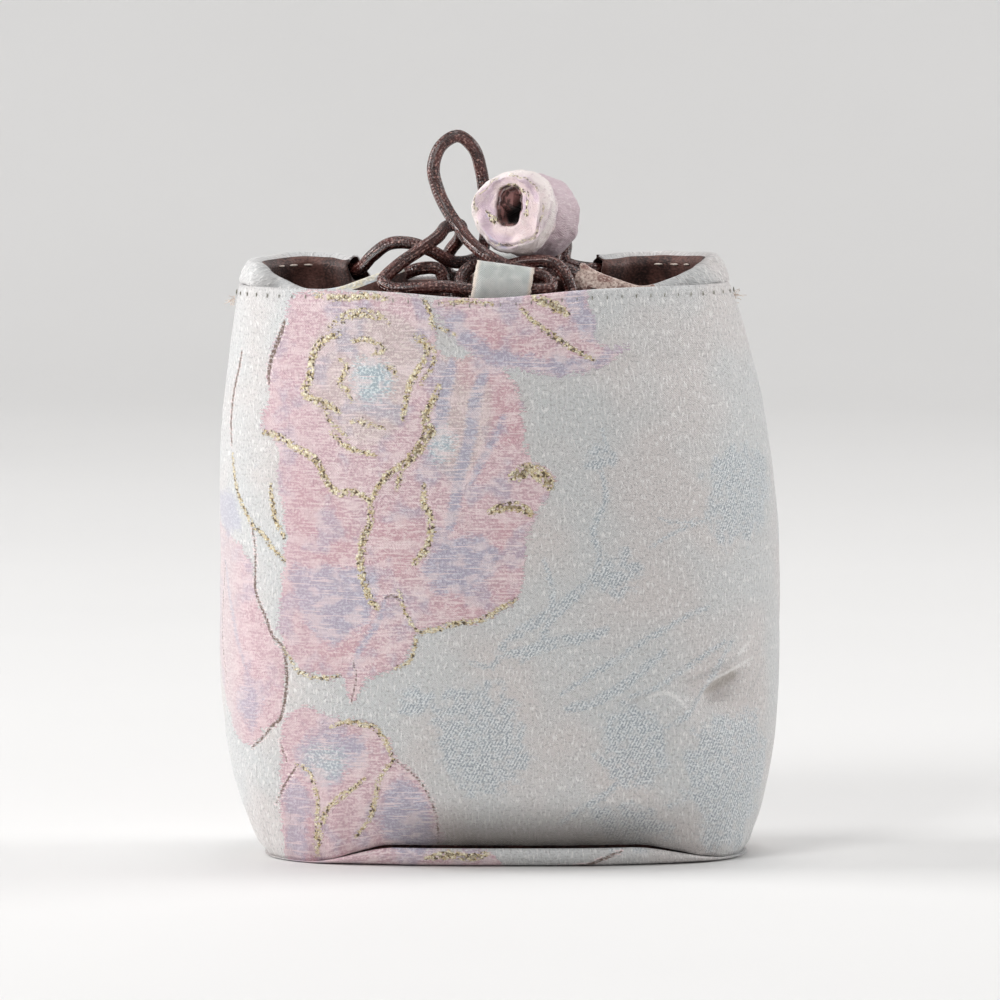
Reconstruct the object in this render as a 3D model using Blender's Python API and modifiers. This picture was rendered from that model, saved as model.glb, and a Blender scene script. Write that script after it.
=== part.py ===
# Drawstring pouch in brocade: two padded walls on a separate base, a loose lining, two
# drawstring casings round the corners of the mouth, two cord loops, one drawcord and its
# rolled cloth bead. Metres, +Z up. The origin is under the middle of the base.

import math

import bmesh
import bpy
from mathutils import Vector

MM = 0.001

# The pouch's outer shell
BELLY_HEIGHT = 38 * MM
RIM_HEIGHT = 88 * MM
BASE_HALF_WIDTH = 36.4 * MM
BELLY_HALF_WIDTH = 43.5 * MM
MOUTH_HALF_WIDTH = 38.3 * MM
BASE_HALF_DEPTH = 20.5 * MM
BELLY_HALF_DEPTH = 26 * MM
MOUTH_HALF_DEPTH = 18.2 * MM
BASE_SHIFT = 1.1 * MM
MOUTH_SHIFT = -2.4 * MM
BASE_SQUARENESS = 2.7
MOUTH_SQUARENESS = 2.0
LOWER_FULLNESS = 3.0
UPPER_FULLNESS = 2.6
SHIFT_FULLNESS = 1.9

# Cloth and seams
WALL_CLOTH = 1.1 * MM
LINING_CLOTH = 0.5 * MM
STRAP_CLOTH = 0.4 * MM
SEAM_GAP = 0.3 * MM
LINING_GAP = 0.7 * MM
SEAM_PINCH = 0.45 * MM
SEAM_PINCH_REACH = 1.8 * MM
BASE_EDGE_HEIGHT = 3.0 * MM
BASE_SEAM_TUCK = 0.9 * MM
BASE_CORNER_TUCK = 2.6 * MM
LINING_BELOW_RIM = 0.5 * MM
LINING_SPREAD = 1.5

# Drawcord, casings and loops
CORD_DIAMETER = 2.0 * MM
CORD_STEP = 4.7 * MM
CHANNEL_CLEARANCE = 0.3 * MM
CASING_HALF_HEIGHT = 2.1 * MM
CASING_FOLD_PRESS = 0.4
LOOP_MIDDLE = 2.4 * MM
LOOP_HALF_LENGTH = 4.6 * MM
LOOP_HALF_HEIGHT = 3.75 * MM
LOOP_SETBACK = 4.7 * MM
LOOP_LIFT = 0.4 * MM

# Bead
BEAD_FACE = Vector((4.1 * MM, -9.0 * MM, 12.2 * MM))
BEAD_AXIS = Vector((0.40, 0.905, -0.14)).normalized()
BEAD_LENGTH = 14 * MM
BEAD_RADIUS = 5.9 * MM
CUFF_RADIUS = 6.6 * MM
CUFF_LENGTH = 4.6 * MM
DIMPLE_RADIUS = 2.3 * MM
DIMPLE_DEPTH = 3.2 * MM
BORE_DEPTH = 3.6 * MM
PLEATS = 5
PLEAT_DEPTH = 0.35 * MM

# Dents and folds in the walls: side, place across, height, reach across and up, tilt, depth
FOLDS = (
    ("front", 34.0 * MM, 25.5 * MM, 5.5 * MM, 3.0 * MM, -24, 1.3 * MM),
    ("front", 31.0 * MM, 33.0 * MM, 9.0 * MM, 2.8 * MM, 32, 0.6 * MM),
    ("front", 25.0 * MM, 12.0 * MM, 12.0 * MM, 4.0 * MM, 12, -0.5 * MM),
    ("front", -33.0 * MM, 16.0 * MM, 7.0 * MM, 3.0 * MM, -35, 0.6 * MM),
    ("front", 2.0 * MM, 7.5 * MM, 24.0 * MM, 2.2 * MM, 1, 0.5 * MM),
    ("back", -30.0 * MM, 22.0 * MM, 8.0 * MM, 3.0 * MM, 25, 1.0 * MM),
    ("back", 28.0 * MM, 17.0 * MM, 9.0 * MM, 3.0 * MM, -20, 0.8 * MM),
    ("back", 0.0 * MM, 8.0 * MM, 24.0 * MM, 2.0 * MM, 0, 0.5 * MM),
)

# Facets
FRONT_COLUMNS = 34
BACK_COLUMNS = 24
ROUND_COLUMNS = 44
WALL_ROWS = 17
LINING_ROWS = 10
BEAD_SIDES = 22
STRAP_SIDES = 12

COLOURS = {
    "front_wall": (0.58, 0.55, 0.54),
    "back_wall": (0.58, 0.55, 0.54),
    "base_panel": (0.56, 0.53, 0.53),
    "lining": (0.10, 0.045, 0.035),
    "casing_left": (0.60, 0.57, 0.53),
    "casing_right": (0.60, 0.57, 0.53),
    "front_loop": (0.57, 0.58, 0.57),
    "back_loop": (0.57, 0.58, 0.57),
    "bead": (0.72, 0.55, 0.60),
    "drawcord": (0.06, 0.022, 0.018),
}


def share(z):
    """How far a height lies from the belly: -1 at the base, 1 at the rim."""
    if z < BELLY_HEIGHT:
        return max(z / BELLY_HEIGHT, 0.0) - 1.0
    return (z - BELLY_HEIGHT) / (RIM_HEIGHT - BELLY_HEIGHT)


def level(belly, base, mouth, z):
    s = share(z)
    if s < 0:
        return belly + (base - belly) * (-s) ** LOWER_FULLNESS
    return belly + (mouth - belly) * s**UPPER_FULLNESS


def sideways(z):
    s = share(z)
    if s < 0:
        return BASE_SHIFT * (-s) ** LOWER_FULLNESS
    return MOUTH_SHIFT * s**SHIFT_FULLNESS


def squareness(z):
    t = min(max(z / RIM_HEIGHT, 0.0), 1.0)
    return BASE_SQUARENESS + (MOUTH_SQUARENESS - BASE_SQUARENESS) * t


def fold_depth(side, x, z, spread):
    depth = 0.0
    for on, across, height, reach, rise, tilt, size in FOLDS:
        if on != side:
            continue
        if spread > 1.0 and size < 0:
            continue
        turn = math.radians(tilt)
        reach *= spread
        rise *= spread
        along = (x - across) * math.cos(turn) + (z - height) * math.sin(turn)
        over = (z - height) * math.cos(turn) - (x - across) * math.sin(turn)
        depth += size * math.exp(-((along / reach) ** 2) - (over / rise) ** 2)
    return depth


def shell_point(angle, z, inset, spread=1.0):
    """A point of the outline at a height, moved in by inset and by the folds, or their spread."""
    half_width = level(BELLY_HALF_WIDTH, BASE_HALF_WIDTH, MOUTH_HALF_WIDTH, z) - inset
    half_depth = level(BELLY_HALF_DEPTH, BASE_HALF_DEPTH, MOUTH_HALF_DEPTH, z) - inset
    power = 2.0 / squareness(z)
    c = math.cos(angle)
    s = math.sin(angle)
    x = half_width * math.copysign(abs(c) ** power, c)
    y = half_depth * math.copysign(abs(s) ** power, s)
    side = "front" if s < 0 else "back"
    normal = Vector((x / half_width**2, y / half_depth**2, 0.0)).normalized()
    x += sideways(z)
    point = Vector((x, y, z))
    if spread == 0.0:
        return point
    return point - normal * fold_depth(side, x, z, spread) * min(1.0, abs(s) * 3.0)


def even_angles(start, end, columns, z, inset):
    """Angles that put the points of one level at equal steps along the outline."""
    fine = 400
    points = [shell_point(start + (end - start) * i / fine, z, inset, 0.0) for i in range(fine + 1)]
    run = [0.0]
    for a, b in zip(points, points[1:]):
        run.append(run[-1] + (b - a).length)
    angles = []
    k = 0
    for i in range(columns + 1):
        goal = run[-1] * i / columns
        while k < fine - 1 and run[k + 1] < goal:
            k += 1
        part = (goal - run[k]) / (run[k + 1] - run[k])
        angles.append(start + (end - start) * (k + part) / fine)
    return angles


def material(name, colour, roughness):
    made = bpy.data.materials.new(name)
    made.use_nodes = True
    shader = made.node_tree.nodes["Principled BSDF"]
    shader.inputs["Base Color"].default_value = (*colour, 1.0)
    shader.inputs["Roughness"].default_value = roughness
    shader.inputs["Metallic"].default_value = 0.0
    return made


def add(name, mesh, roughness=0.7):
    ob = bpy.data.objects.new(name, mesh)
    pouch.objects.link(ob)
    ob.data.materials.append(material(name, COLOURS[name], roughness))
    return ob


def loft(name, rings, closed, floor=False, end=False):
    """A surface through rings of points. floor fills the first ring and end the last."""
    bm = bmesh.new()
    rows = [[bm.verts.new(p) for p in ring] for ring in rings]
    count = len(rows[0])
    steps = count if closed else count - 1
    for lower, upper in zip(rows, rows[1:]):
        for i in range(steps):
            j = (i + 1) % count
            bm.faces.new((lower[i], lower[j], upper[j], upper[i]))
    if floor:
        bm.faces.new(list(reversed(rows[0])))
    if end:
        bm.faces.new(rows[-1])
    mesh = bpy.data.meshes.new(name)
    bm.to_mesh(mesh)
    bm.free()
    mesh.shade_smooth()
    return mesh


def solidify(ob, thickness, even=True):
    shell = ob.modifiers.new("cloth", "SOLIDIFY")
    shell.thickness = thickness
    shell.offset = -1.0
    shell.use_even_offset = even


def wall_heights():
    """Levels of the wall, close together at the tucked seam and at the rim."""
    seam = BASE_EDGE_HEIGHT + SEAM_GAP
    close = [seam, seam + 0.6 * BASE_SEAM_TUCK, seam + 1.7 * BASE_SEAM_TUCK]
    lowest = seam + 3.2 * BASE_SEAM_TUCK
    spread = [lowest + (RIM_HEIGHT - lowest) * i / WALL_ROWS for i in range(WALL_ROWS + 1)]
    return close + spread


def seam_tuck(z):
    """How far the wall turns in towards the seam with the base."""
    seam = BASE_EDGE_HEIGHT + SEAM_GAP
    return BASE_SEAM_TUCK * math.exp(-(((z - seam) / BASE_SEAM_TUCK) ** 2))


def wall(name, start, end, columns):
    """One brocade wall, from side seam to side seam."""
    rings = []
    for z in wall_heights():
        tuck = seam_tuck(z)
        ring = []
        for angle in even_angles(start, end, columns, z, tuck):
            to_seam = abs(shell_point(angle, z, tuck, 0.0).y)
            pinch = SEAM_PINCH * math.exp(-((to_seam / SEAM_PINCH_REACH) ** 2))
            p = shell_point(angle, z, tuck + pinch)
            side = math.copysign(1.0, math.sin((start + end) / 2))
            p.y = side * max(abs(p.y), SEAM_GAP / 2)
            ring.append(p)
        rings.append(ring)
    ob = add(name, loft(name, rings, closed=False))
    solidify(ob, WALL_CLOTH, even=False)
    return ob


def base_panel():
    """The flat base, with its edge turned up to the seam."""
    levels = (
        (0.0, BASE_CORNER_TUCK),
        (0.16 * BASE_EDGE_HEIGHT, 0.3 * BASE_CORNER_TUCK),
        (0.5 * BASE_EDGE_HEIGHT, 0.0),
        (0.8 * BASE_EDGE_HEIGHT, 0.15 * BASE_SEAM_TUCK),
        (BASE_EDGE_HEIGHT, 0.75 * BASE_SEAM_TUCK),
    )
    columns = ROUND_COLUMNS
    rings = []
    for z, inset in levels:
        angles = even_angles(0.0, 2 * math.pi, columns, z, inset)[:-1]
        rings.append([shell_point(a, z, inset, 0.0) for a in angles])
    ob = add("base_panel", loft("base_panel", rings, closed=True, floor=True))
    solidify(ob, WALL_CLOTH)
    return ob


def lining():
    """The loose brown bag inside, open at the top."""
    floor = WALL_CLOTH + SEAM_GAP
    inset = WALL_CLOTH + LINING_GAP
    top = RIM_HEIGHT - LINING_BELOW_RIM
    corner = BASE_CORNER_TUCK
    levels = [
        (floor, inset + corner),
        (floor + 0.2 * corner, inset + 0.4 * corner),
        (floor + 0.9 * corner, inset + 0.25 * corner),
    ]
    lowest = floor + 2.4 * corner
    levels += [(lowest + (top - lowest) * i / LINING_ROWS, inset) for i in range(LINING_ROWS + 1)]
    rings = []
    for z, moved in levels:
        angles = even_angles(0.0, 2 * math.pi, ROUND_COLUMNS, z, moved)[:-1]
        rings.append([shell_point(a, z, moved, LINING_SPREAD) for a in angles])
    ob = add("lining", loft("lining", rings, closed=True, floor=True), roughness=0.8)
    solidify(ob, LINING_CLOTH, even=False)
    return ob


def corner_point(side, inward, forward, lift):
    """A casing's point: in from the rim's corner, as a share of the half depth, above the rim."""
    x = MOUTH_SHIFT + side * (MOUTH_HALF_WIDTH - inward * MM)
    return Vector((x, -forward * MOUTH_HALF_DEPTH, RIM_HEIGHT + lift * MM))


def mouth_point(x, y, lift):
    """A point of the free cord: millimetres from the mouth's middle, above the rim."""
    return Vector((MOUTH_SHIFT + x * MM, y * MM, RIM_HEIGHT + lift * MM))


def bead_point(along, across, up=0.0):
    """A point along the bead's axis from its front face, moved sideways and up."""
    right = BEAD_AXIS.cross(Vector((0, 0, 1))).normalized()
    rise = right.cross(BEAD_AXIS)
    face = BEAD_FACE + Vector((MOUTH_SHIFT, 0.0, RIM_HEIGHT))
    return face + BEAD_AXIS * along + right * across + rise * up


def cord_route():
    """The drawcord's points from bead to bead, and the numbers of those at the casings' ends."""
    apart = (CORD_DIAMETER + SEAM_GAP) / 2
    inside = BEAD_LENGTH - BORE_DEPTH + 2 * SEAM_GAP
    clear = BEAD_LENGTH + CORD_DIAMETER
    route = [bead_point(inside, apart), bead_point(BEAD_LENGTH, apart), bead_point(clear, apart)]
    route += [mouth_point(*p) for p in ((12.6, 7.0, 6.2), (12.6, 5.6, 3.4))]
    right = [
        corner_point(1, *p)
        for p in (
            (21.0, -0.30, 2.3),
            (16.6, -0.52, 2.5),
            (11.6, -0.62, 2.6),
            (6.2, -0.46, 2.7),
            (2.0, -0.02, 2.9),
            (4.8, 0.24, 2.8),
            (9.2, 0.34, 1.6),
            (14.0, 0.45, -0.4),
            (19.0, 0.44, 0.6),
            (23.6, 0.33, 2.0),
        )
    ]
    right_from = len(route)
    route += right
    right_to = len(route) - 1
    route += [
        mouth_point(*p)
        for p in (
            (12.2, -5.4, 3.0),
            (10.2, -7.2, 2.4),
            (9.7, -8.7, -0.8),
            (10.1, -9.2, -4.4),
            (12.4, -10.2, -5.6),
            (13.6, -10.8, -2.6),
            (12.8, -10.6, 1.7),
            (10.6, -10.0, 4.2),
            (6.6, -8.8, 4.3),
            (2.2, -8.0, 3.4),
            (-1.4, -7.8, 3.7),
            (-3.4, -9.2, 2.2),
            (-3.7, -10.3, -0.8),
            (-4.3, -9.0, -3.6),
            (-5.6, -6.9, -3.6),
            (-6.0, -5.7, -0.2),
            (-7.0, -5.7, 2.9),
            (-9.8, -5.6, 3.1),
        )
    ]
    left = [
        corner_point(-1, *p)
        for p in (
            (25.9, 0.28, 2.2),
            (21.6, 0.40, 0.9),
            (16.6, 0.49, -0.8),
            (11.4, 0.44, -1.0),
            (6.8, 0.28, 1.4),
            (3.2, 0.20, 2.5),
            (1.9, -0.04, 2.5),
            (5.0, -0.42, 2.5),
            (10.6, -0.62, 2.5),
            (15.4, -0.52, 2.4),
            (18.8, -0.30, 2.3),
        )
    ]
    left_from = len(route)
    route += left
    left_to = len(route) - 1
    route += [
        mouth_point(*p)
        for p in (
            (-17.4, 3.4, 4.5),
            (-14.8, 2.2, 6.4),
            (-11.6, 1.4, 6.6),
            (-8.4, 1.0, 5.5),
            (-4.6, 2.0, 3.6),
            (-0.9, 3.9, 4.4),
            (0.3, 4.4, 8.6),
            (0.1, 3.6, 13.0),
            (-0.5, 2.8, 17.6),
            (-1.7, 1.8, 21.3),
            (-4.1, 1.0, 23.2),
            (-6.7, 0.4, 21.7),
            (-7.9, 0.0, 18.4),
            (-7.2, -0.8, 15.0),
            (-5.6, -2.2, 11.7),
            (-3.8, -4.2, 9.2),
            (-2.2, -7.2, 7.3),
            (0.4, -10.4, 5.4),
            (3.9, -11.1, 3.7),
            (7.4, -11.0, 2.8),
            (9.9, -11.5, 1.9),
            (10.2, -13.0, 0.6),
            (8.8, -13.5, 0.4),
        )
    ]
    loop_y = -(MOUTH_HALF_DEPTH - LOOP_SETBACK)
    loop_x = LOOP_HALF_LENGTH
    centre = MOUTH_SHIFT + LOOP_MIDDLE
    height = RIM_HEIGHT + LOOP_LIFT
    route += [
        Vector((centre + loop_x, loop_y, height)),
        Vector((centre, loop_y, height)),
        Vector((centre - loop_x, loop_y, height)),
    ]
    route += [
        mouth_point(*p)
        for p in (
            (-6.0, -13.4, 0.8),
            (-10.4, -13.0, 0.6),
            (-13.8, -12.2, 0.4),
            (-15.6, -10.6, 1.4),
            (-13.4, -9.0, 3.7),
            (-10.0, -7.2, 6.0),
            (-7.2, -4.4, 7.9),
            (-5.8, -0.9, 9.3),
            (-3.8, 1.2, 9.4),
            (-3.8, 3.8, 7.4),
            (-5.4, 6.6, 5.0),
            (-6.2, 10.2, 2.4),
            (-5.0, 13.0, 0.7),
        )
    ]
    route += [
        Vector((centre - loop_x, -loop_y, height)),
        Vector((centre, -loop_y, height)),
        Vector((centre + loop_x, -loop_y, height)),
    ]
    route += [mouth_point(*p) for p in ((10.2, 13.0, 1.6), (11.6, 11.6, 5.0), (9.6, 9.6, 7.6))]
    route += [bead_point(clear, -apart), bead_point(BEAD_LENGTH, -apart), bead_point(inside, -apart)]
    return route, [right_from, right_to, left_from, left_to]


def smooth(points, marks):
    """Even samples of a smooth curve through the points, and where the marked points lie."""
    fine = 12
    padded = [points[0] * 2 - points[1]] + points + [points[-1] * 2 - points[-2]]
    track = []
    for i in range(1, len(points)):
        a, b, c, d = padded[i - 1 : i + 3]
        k1 = math.sqrt((b - a).length)
        k2 = k1 + math.sqrt((c - b).length)
        k3 = k2 + math.sqrt((d - c).length)
        for step in range(fine):
            k = k1 + (k2 - k1) * step / fine
            ab = a.lerp(b, k / k1)
            bc = b.lerp(c, (k - k1) / (k2 - k1))
            cd = c.lerp(d, (k - k2) / (k3 - k2))
            abc = ab.lerp(bc, k / k2)
            bcd = bc.lerp(cd, (k - k1) / (k3 - k1))
            track.append(abc.lerp(bcd, (k - k1) / (k2 - k1)))
    track.append(points[-1].copy())
    samples = [track[0]]
    places = []
    for first, last in zip([0] + marks, marks + [len(points) - 1]):
        stretch = track[first * fine : last * fine + 1]
        samples += even_steps(stretch, CORD_STEP)
        places.append(len(samples) - 1)
    return samples, places[:-1]


def even_steps(track, step):
    """Points at even steps along a track, without its first one."""
    run = [0.0]
    for a, b in zip(track, track[1:]):
        run.append(run[-1] + (b - a).length)
    count = max(1, round(run[-1] / step))
    points = []
    k = 0
    for i in range(1, count + 1):
        goal = run[-1] * i / count
        while k < len(track) - 2 and run[k + 1] < goal:
            k += 1
        points.append(track[k].lerp(track[k + 1], (goal - run[k]) / (run[k + 1] - run[k])))
    return points


def drawcord(samples):
    curve = bpy.data.curves.new("drawcord", "CURVE")
    curve.dimensions = "3D"
    curve.bevel_depth = CORD_DIAMETER / 2
    curve.bevel_resolution = 2
    curve.use_fill_caps = True
    spline = curve.splines.new("POLY")
    spline.points.add(len(samples) - 1)
    for point, place in zip(spline.points, samples):
        point.co = (*place, 1.0)
    return add("drawcord", curve, roughness=0.35)


def strap_section(centre, across, up, half_width, half_height, press=0.0):
    """A rounded oblong section of a strap folded round the cord, its top fold pressed narrow."""
    ring = []
    for i in range(STRAP_SIDES):
        turn = 2 * math.pi * i / STRAP_SIDES
        c = math.cos(turn)
        s = math.sin(turn)
        narrow = 1.0 - press * max(s, 0.0) ** 2
        ring.append(centre + across * (half_width * c * narrow) + up * (half_height * s))
    return ring


def strap_half_width():
    return CORD_DIAMETER / 2 + CHANNEL_CLEARANCE + STRAP_CLOTH


def casing(name, samples, first, last):
    """A cloth tube round one stretch of the cord, open at both ends."""
    rings = []
    for i in range(first, last + 1):
        ahead = samples[min(i + 1, last)] - samples[max(i - 1, first)]
        across = Vector((ahead.y, -ahead.x, 0.0)).normalized()
        up = across.cross(ahead).normalized()
        rings.append(
            strap_section(
                samples[i], across, up, strap_half_width(), CASING_HALF_HEIGHT, CASING_FOLD_PRESS
            )
        )
    ob = add(name, loft(name, rings, closed=True))
    solidify(ob, STRAP_CLOTH)
    return ob


def cord_loop(name, side):
    """A short cloth loop that stands behind the rim with the cord through it."""
    centre = Vector((
        MOUTH_SHIFT + LOOP_MIDDLE,
        side * (MOUTH_HALF_DEPTH - LOOP_SETBACK),
        RIM_HEIGHT + LOOP_LIFT,
    ))
    across = Vector((0, 1, 0))
    up = Vector((0, 0, 1))
    rings = []
    for along in (-1, -0.5, 0, 0.5, 1):
        middle = centre + Vector((along * LOOP_HALF_LENGTH, 0, 0))
        rings.append(strap_section(middle, across, up, strap_half_width(), LOOP_HALF_HEIGHT))
    ob = add(name, loft(name, rings, closed=True))
    solidify(ob, STRAP_CLOTH)
    return ob


def bead():
    """A barrel of rolled cloth: a cuff at the front, a pleated hollow and a hole for the cord."""
    bore = CORD_DIAMETER + SEAM_GAP / 2 + SEAM_GAP
    profile = (
        (DIMPLE_DEPTH, 0.4 * DIMPLE_RADIUS, 0.3),
        (0.75 * DIMPLE_DEPTH, 0.75 * DIMPLE_RADIUS, 0.8),
        (0.3 * DIMPLE_DEPTH, DIMPLE_RADIUS, 1.0),
        (0.0, 0.55 * CUFF_RADIUS, 0.6),
        (-0.03 * CUFF_LENGTH, 0.75 * CUFF_RADIUS, 0.2),
        (0.12 * CUFF_LENGTH, 0.92 * CUFF_RADIUS, 0.0),
        (0.45 * CUFF_LENGTH, CUFF_RADIUS, 0.0),
        (0.85 * CUFF_LENGTH, 0.98 * CUFF_RADIUS, 0.0),
        (CUFF_LENGTH, 0.93 * CUFF_RADIUS, 0.0),
        (CUFF_LENGTH, 0.94 * BEAD_RADIUS, 0.0),
        (0.45 * BEAD_LENGTH, 0.98 * BEAD_RADIUS, 0.0),
        (0.66 * BEAD_LENGTH, BEAD_RADIUS, 0.0),
        (0.86 * BEAD_LENGTH, 0.95 * BEAD_RADIUS, 0.0),
        (0.97 * BEAD_LENGTH, 0.84 * BEAD_RADIUS, 0.0),
        (BEAD_LENGTH, 0.7 * BEAD_RADIUS, 0.0),
        (BEAD_LENGTH, bore, 0.0),
        (BEAD_LENGTH - BORE_DEPTH, bore, 0.0),
    )
    rings = []
    for along, radius, pleated in profile:
        ring = []
        for i in range(BEAD_SIDES):
            turn = 2 * math.pi * i / BEAD_SIDES
            r = radius + pleated * PLEAT_DEPTH * math.cos(PLEATS * turn)
            ring.append(bead_point(along, r * math.cos(turn), r * math.sin(turn)))
        rings.append(ring)
    rings = [list(reversed(ring)) for ring in rings]
    return add("bead", loft("bead", rings, closed=True, floor=True, end=True), roughness=0.5)


def build():
    wall("front_wall", math.pi, 2 * math.pi, FRONT_COLUMNS)
    wall("back_wall", 0.0, math.pi, BACK_COLUMNS)
    base_panel()
    lining()
    route, marks = cord_route()
    samples, places = smooth(route, marks)
    casing("casing_right", samples, places[0], places[1])
    casing("casing_left", samples, places[2], places[3])
    cord_loop("front_loop", -1)
    cord_loop("back_loop", 1)
    drawcord(samples)
    bead()


for old in list(bpy.data.objects):
    bpy.data.objects.remove(old, do_unlink=True)
pouch = bpy.data.collections.new("drawstring_pouch")
bpy.context.scene.collection.children.link(pouch)
build()
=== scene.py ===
import math

import bmesh
import bpy
import numpy as np
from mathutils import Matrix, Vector, noise


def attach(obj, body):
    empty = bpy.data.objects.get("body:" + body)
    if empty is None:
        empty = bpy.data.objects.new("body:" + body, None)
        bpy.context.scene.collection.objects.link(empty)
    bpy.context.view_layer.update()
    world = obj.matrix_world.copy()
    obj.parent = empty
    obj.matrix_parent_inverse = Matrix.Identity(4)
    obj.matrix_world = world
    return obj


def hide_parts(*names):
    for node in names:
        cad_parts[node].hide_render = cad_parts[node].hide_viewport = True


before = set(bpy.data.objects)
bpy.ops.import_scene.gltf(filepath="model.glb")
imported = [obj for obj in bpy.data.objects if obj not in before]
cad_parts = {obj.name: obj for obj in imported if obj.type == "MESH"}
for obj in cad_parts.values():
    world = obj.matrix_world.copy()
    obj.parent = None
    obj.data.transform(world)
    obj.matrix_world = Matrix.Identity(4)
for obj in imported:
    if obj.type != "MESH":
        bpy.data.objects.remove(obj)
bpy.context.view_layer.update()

# Looks of a small brocade drawstring pouch. Sizes in the dictionaries are in millimetres.
mm = 0.001

view = {
    "distance": 1500.0,
    "elevation": 5.0,
    "pixelsPerMm": 6.45,
    "frameWidth": 1000.0,
    "footPixel": (500.0, 852.0),
    "sensor": 36.0,
}


def linked(name, data):
    made = bpy.data.objects.new(name, data)
    bpy.context.scene.collection.objects.link(made)
    return made


def makeCamera():
    tilt = math.radians(view["elevation"])
    wide = view["frameWidth"] / view["pixelsPerMm"]
    middle = (view["footPixel"][1] - view["frameWidth"] / 2) / view["pixelsPerMm"] / math.cos(tilt)
    lens = bpy.data.cameras.new("camera")
    lens.sensor_width = view["sensor"]
    lens.lens = view["sensor"] * view["distance"] / wide
    lens.clip_end = 20.0
    camera = linked("camera", lens)
    back = view["distance"] * math.cos(tilt)
    up = middle + view["distance"] * math.sin(tilt)
    camera.location = (0.0, -back * mm, up * mm)
    camera.rotation_euler = (math.pi / 2 - tilt, 0.0, 0.0)
    bpy.context.scene.camera = camera


makeCamera()
print("camera placed")


# Meshes from numpy grids

def gridFaces(across, along, wrapAcross, wrapAlong):
    i = np.arange(across if wrapAcross else across - 1)
    j = np.arange(along if wrapAlong else along - 1)
    a, b = np.meshgrid(i, j, indexing="ij")
    c = (a + 1) % across
    d = (b + 1) % along
    quads = np.stack([a * along + b, c * along + b, c * along + d, a * along + d], axis=-1)
    return quads.reshape(-1, 4).tolist()


def tubeFaces(n, m):
    # n rings of m points each, closed with a face at both ends
    ends = [list(range(m)), list(range(n * m - 1, (n - 1) * m - 1, -1))]
    return gridFaces(n, m, False, True) + ends


def makePiece(name, points, faces, material):
    mesh = bpy.data.meshes.new(name)
    mesh.from_pydata((points.reshape(-1, 3) * mm).tolist(), [], faces)
    mesh.update()
    bm = bmesh.new()
    bm.from_mesh(mesh)
    bmesh.ops.recalc_face_normals(bm, faces=bm.faces)
    bm.to_mesh(mesh)
    bm.free()
    mesh.shade_smooth()
    mesh.materials.append(material)
    return linked(name, mesh)


def paint(piece, name, values):
    isVector = values.ndim == 2
    layer = piece.data.attributes.new(name, "FLOAT_VECTOR" if isVector else "FLOAT", "POINT")
    layer.data.foreach_set("vector" if isVector else "value", values.astype(np.float32).ravel())


def plainMesh(guide):
    bpy.context.view_layer.update()
    mesh = bpy.data.meshes.new_from_object(guide.evaluated_get(bpy.context.evaluated_depsgraph_get()))
    bpy.data.objects.remove(guide)
    return mesh


def ripple(points, scale, seed):
    shift = Vector((seed, 2.3 * seed, -seed))
    found = [noise.noise(Vector(p) * scale + shift) for p in points.reshape(-1, 3)]
    return np.array(found).reshape(points.shape[:-1])


def bell(away, reach):
    return np.exp(-((away / reach) ** 2))


def climb(value, low, high):
    return np.clip((value - low) / (high - low), 0.0, 1.0)


def mixed(a, b, part):
    return a + (b - a) * part


def around(count):
    return np.linspace(0.0, 2 * math.pi, count, endpoint=False)


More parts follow.
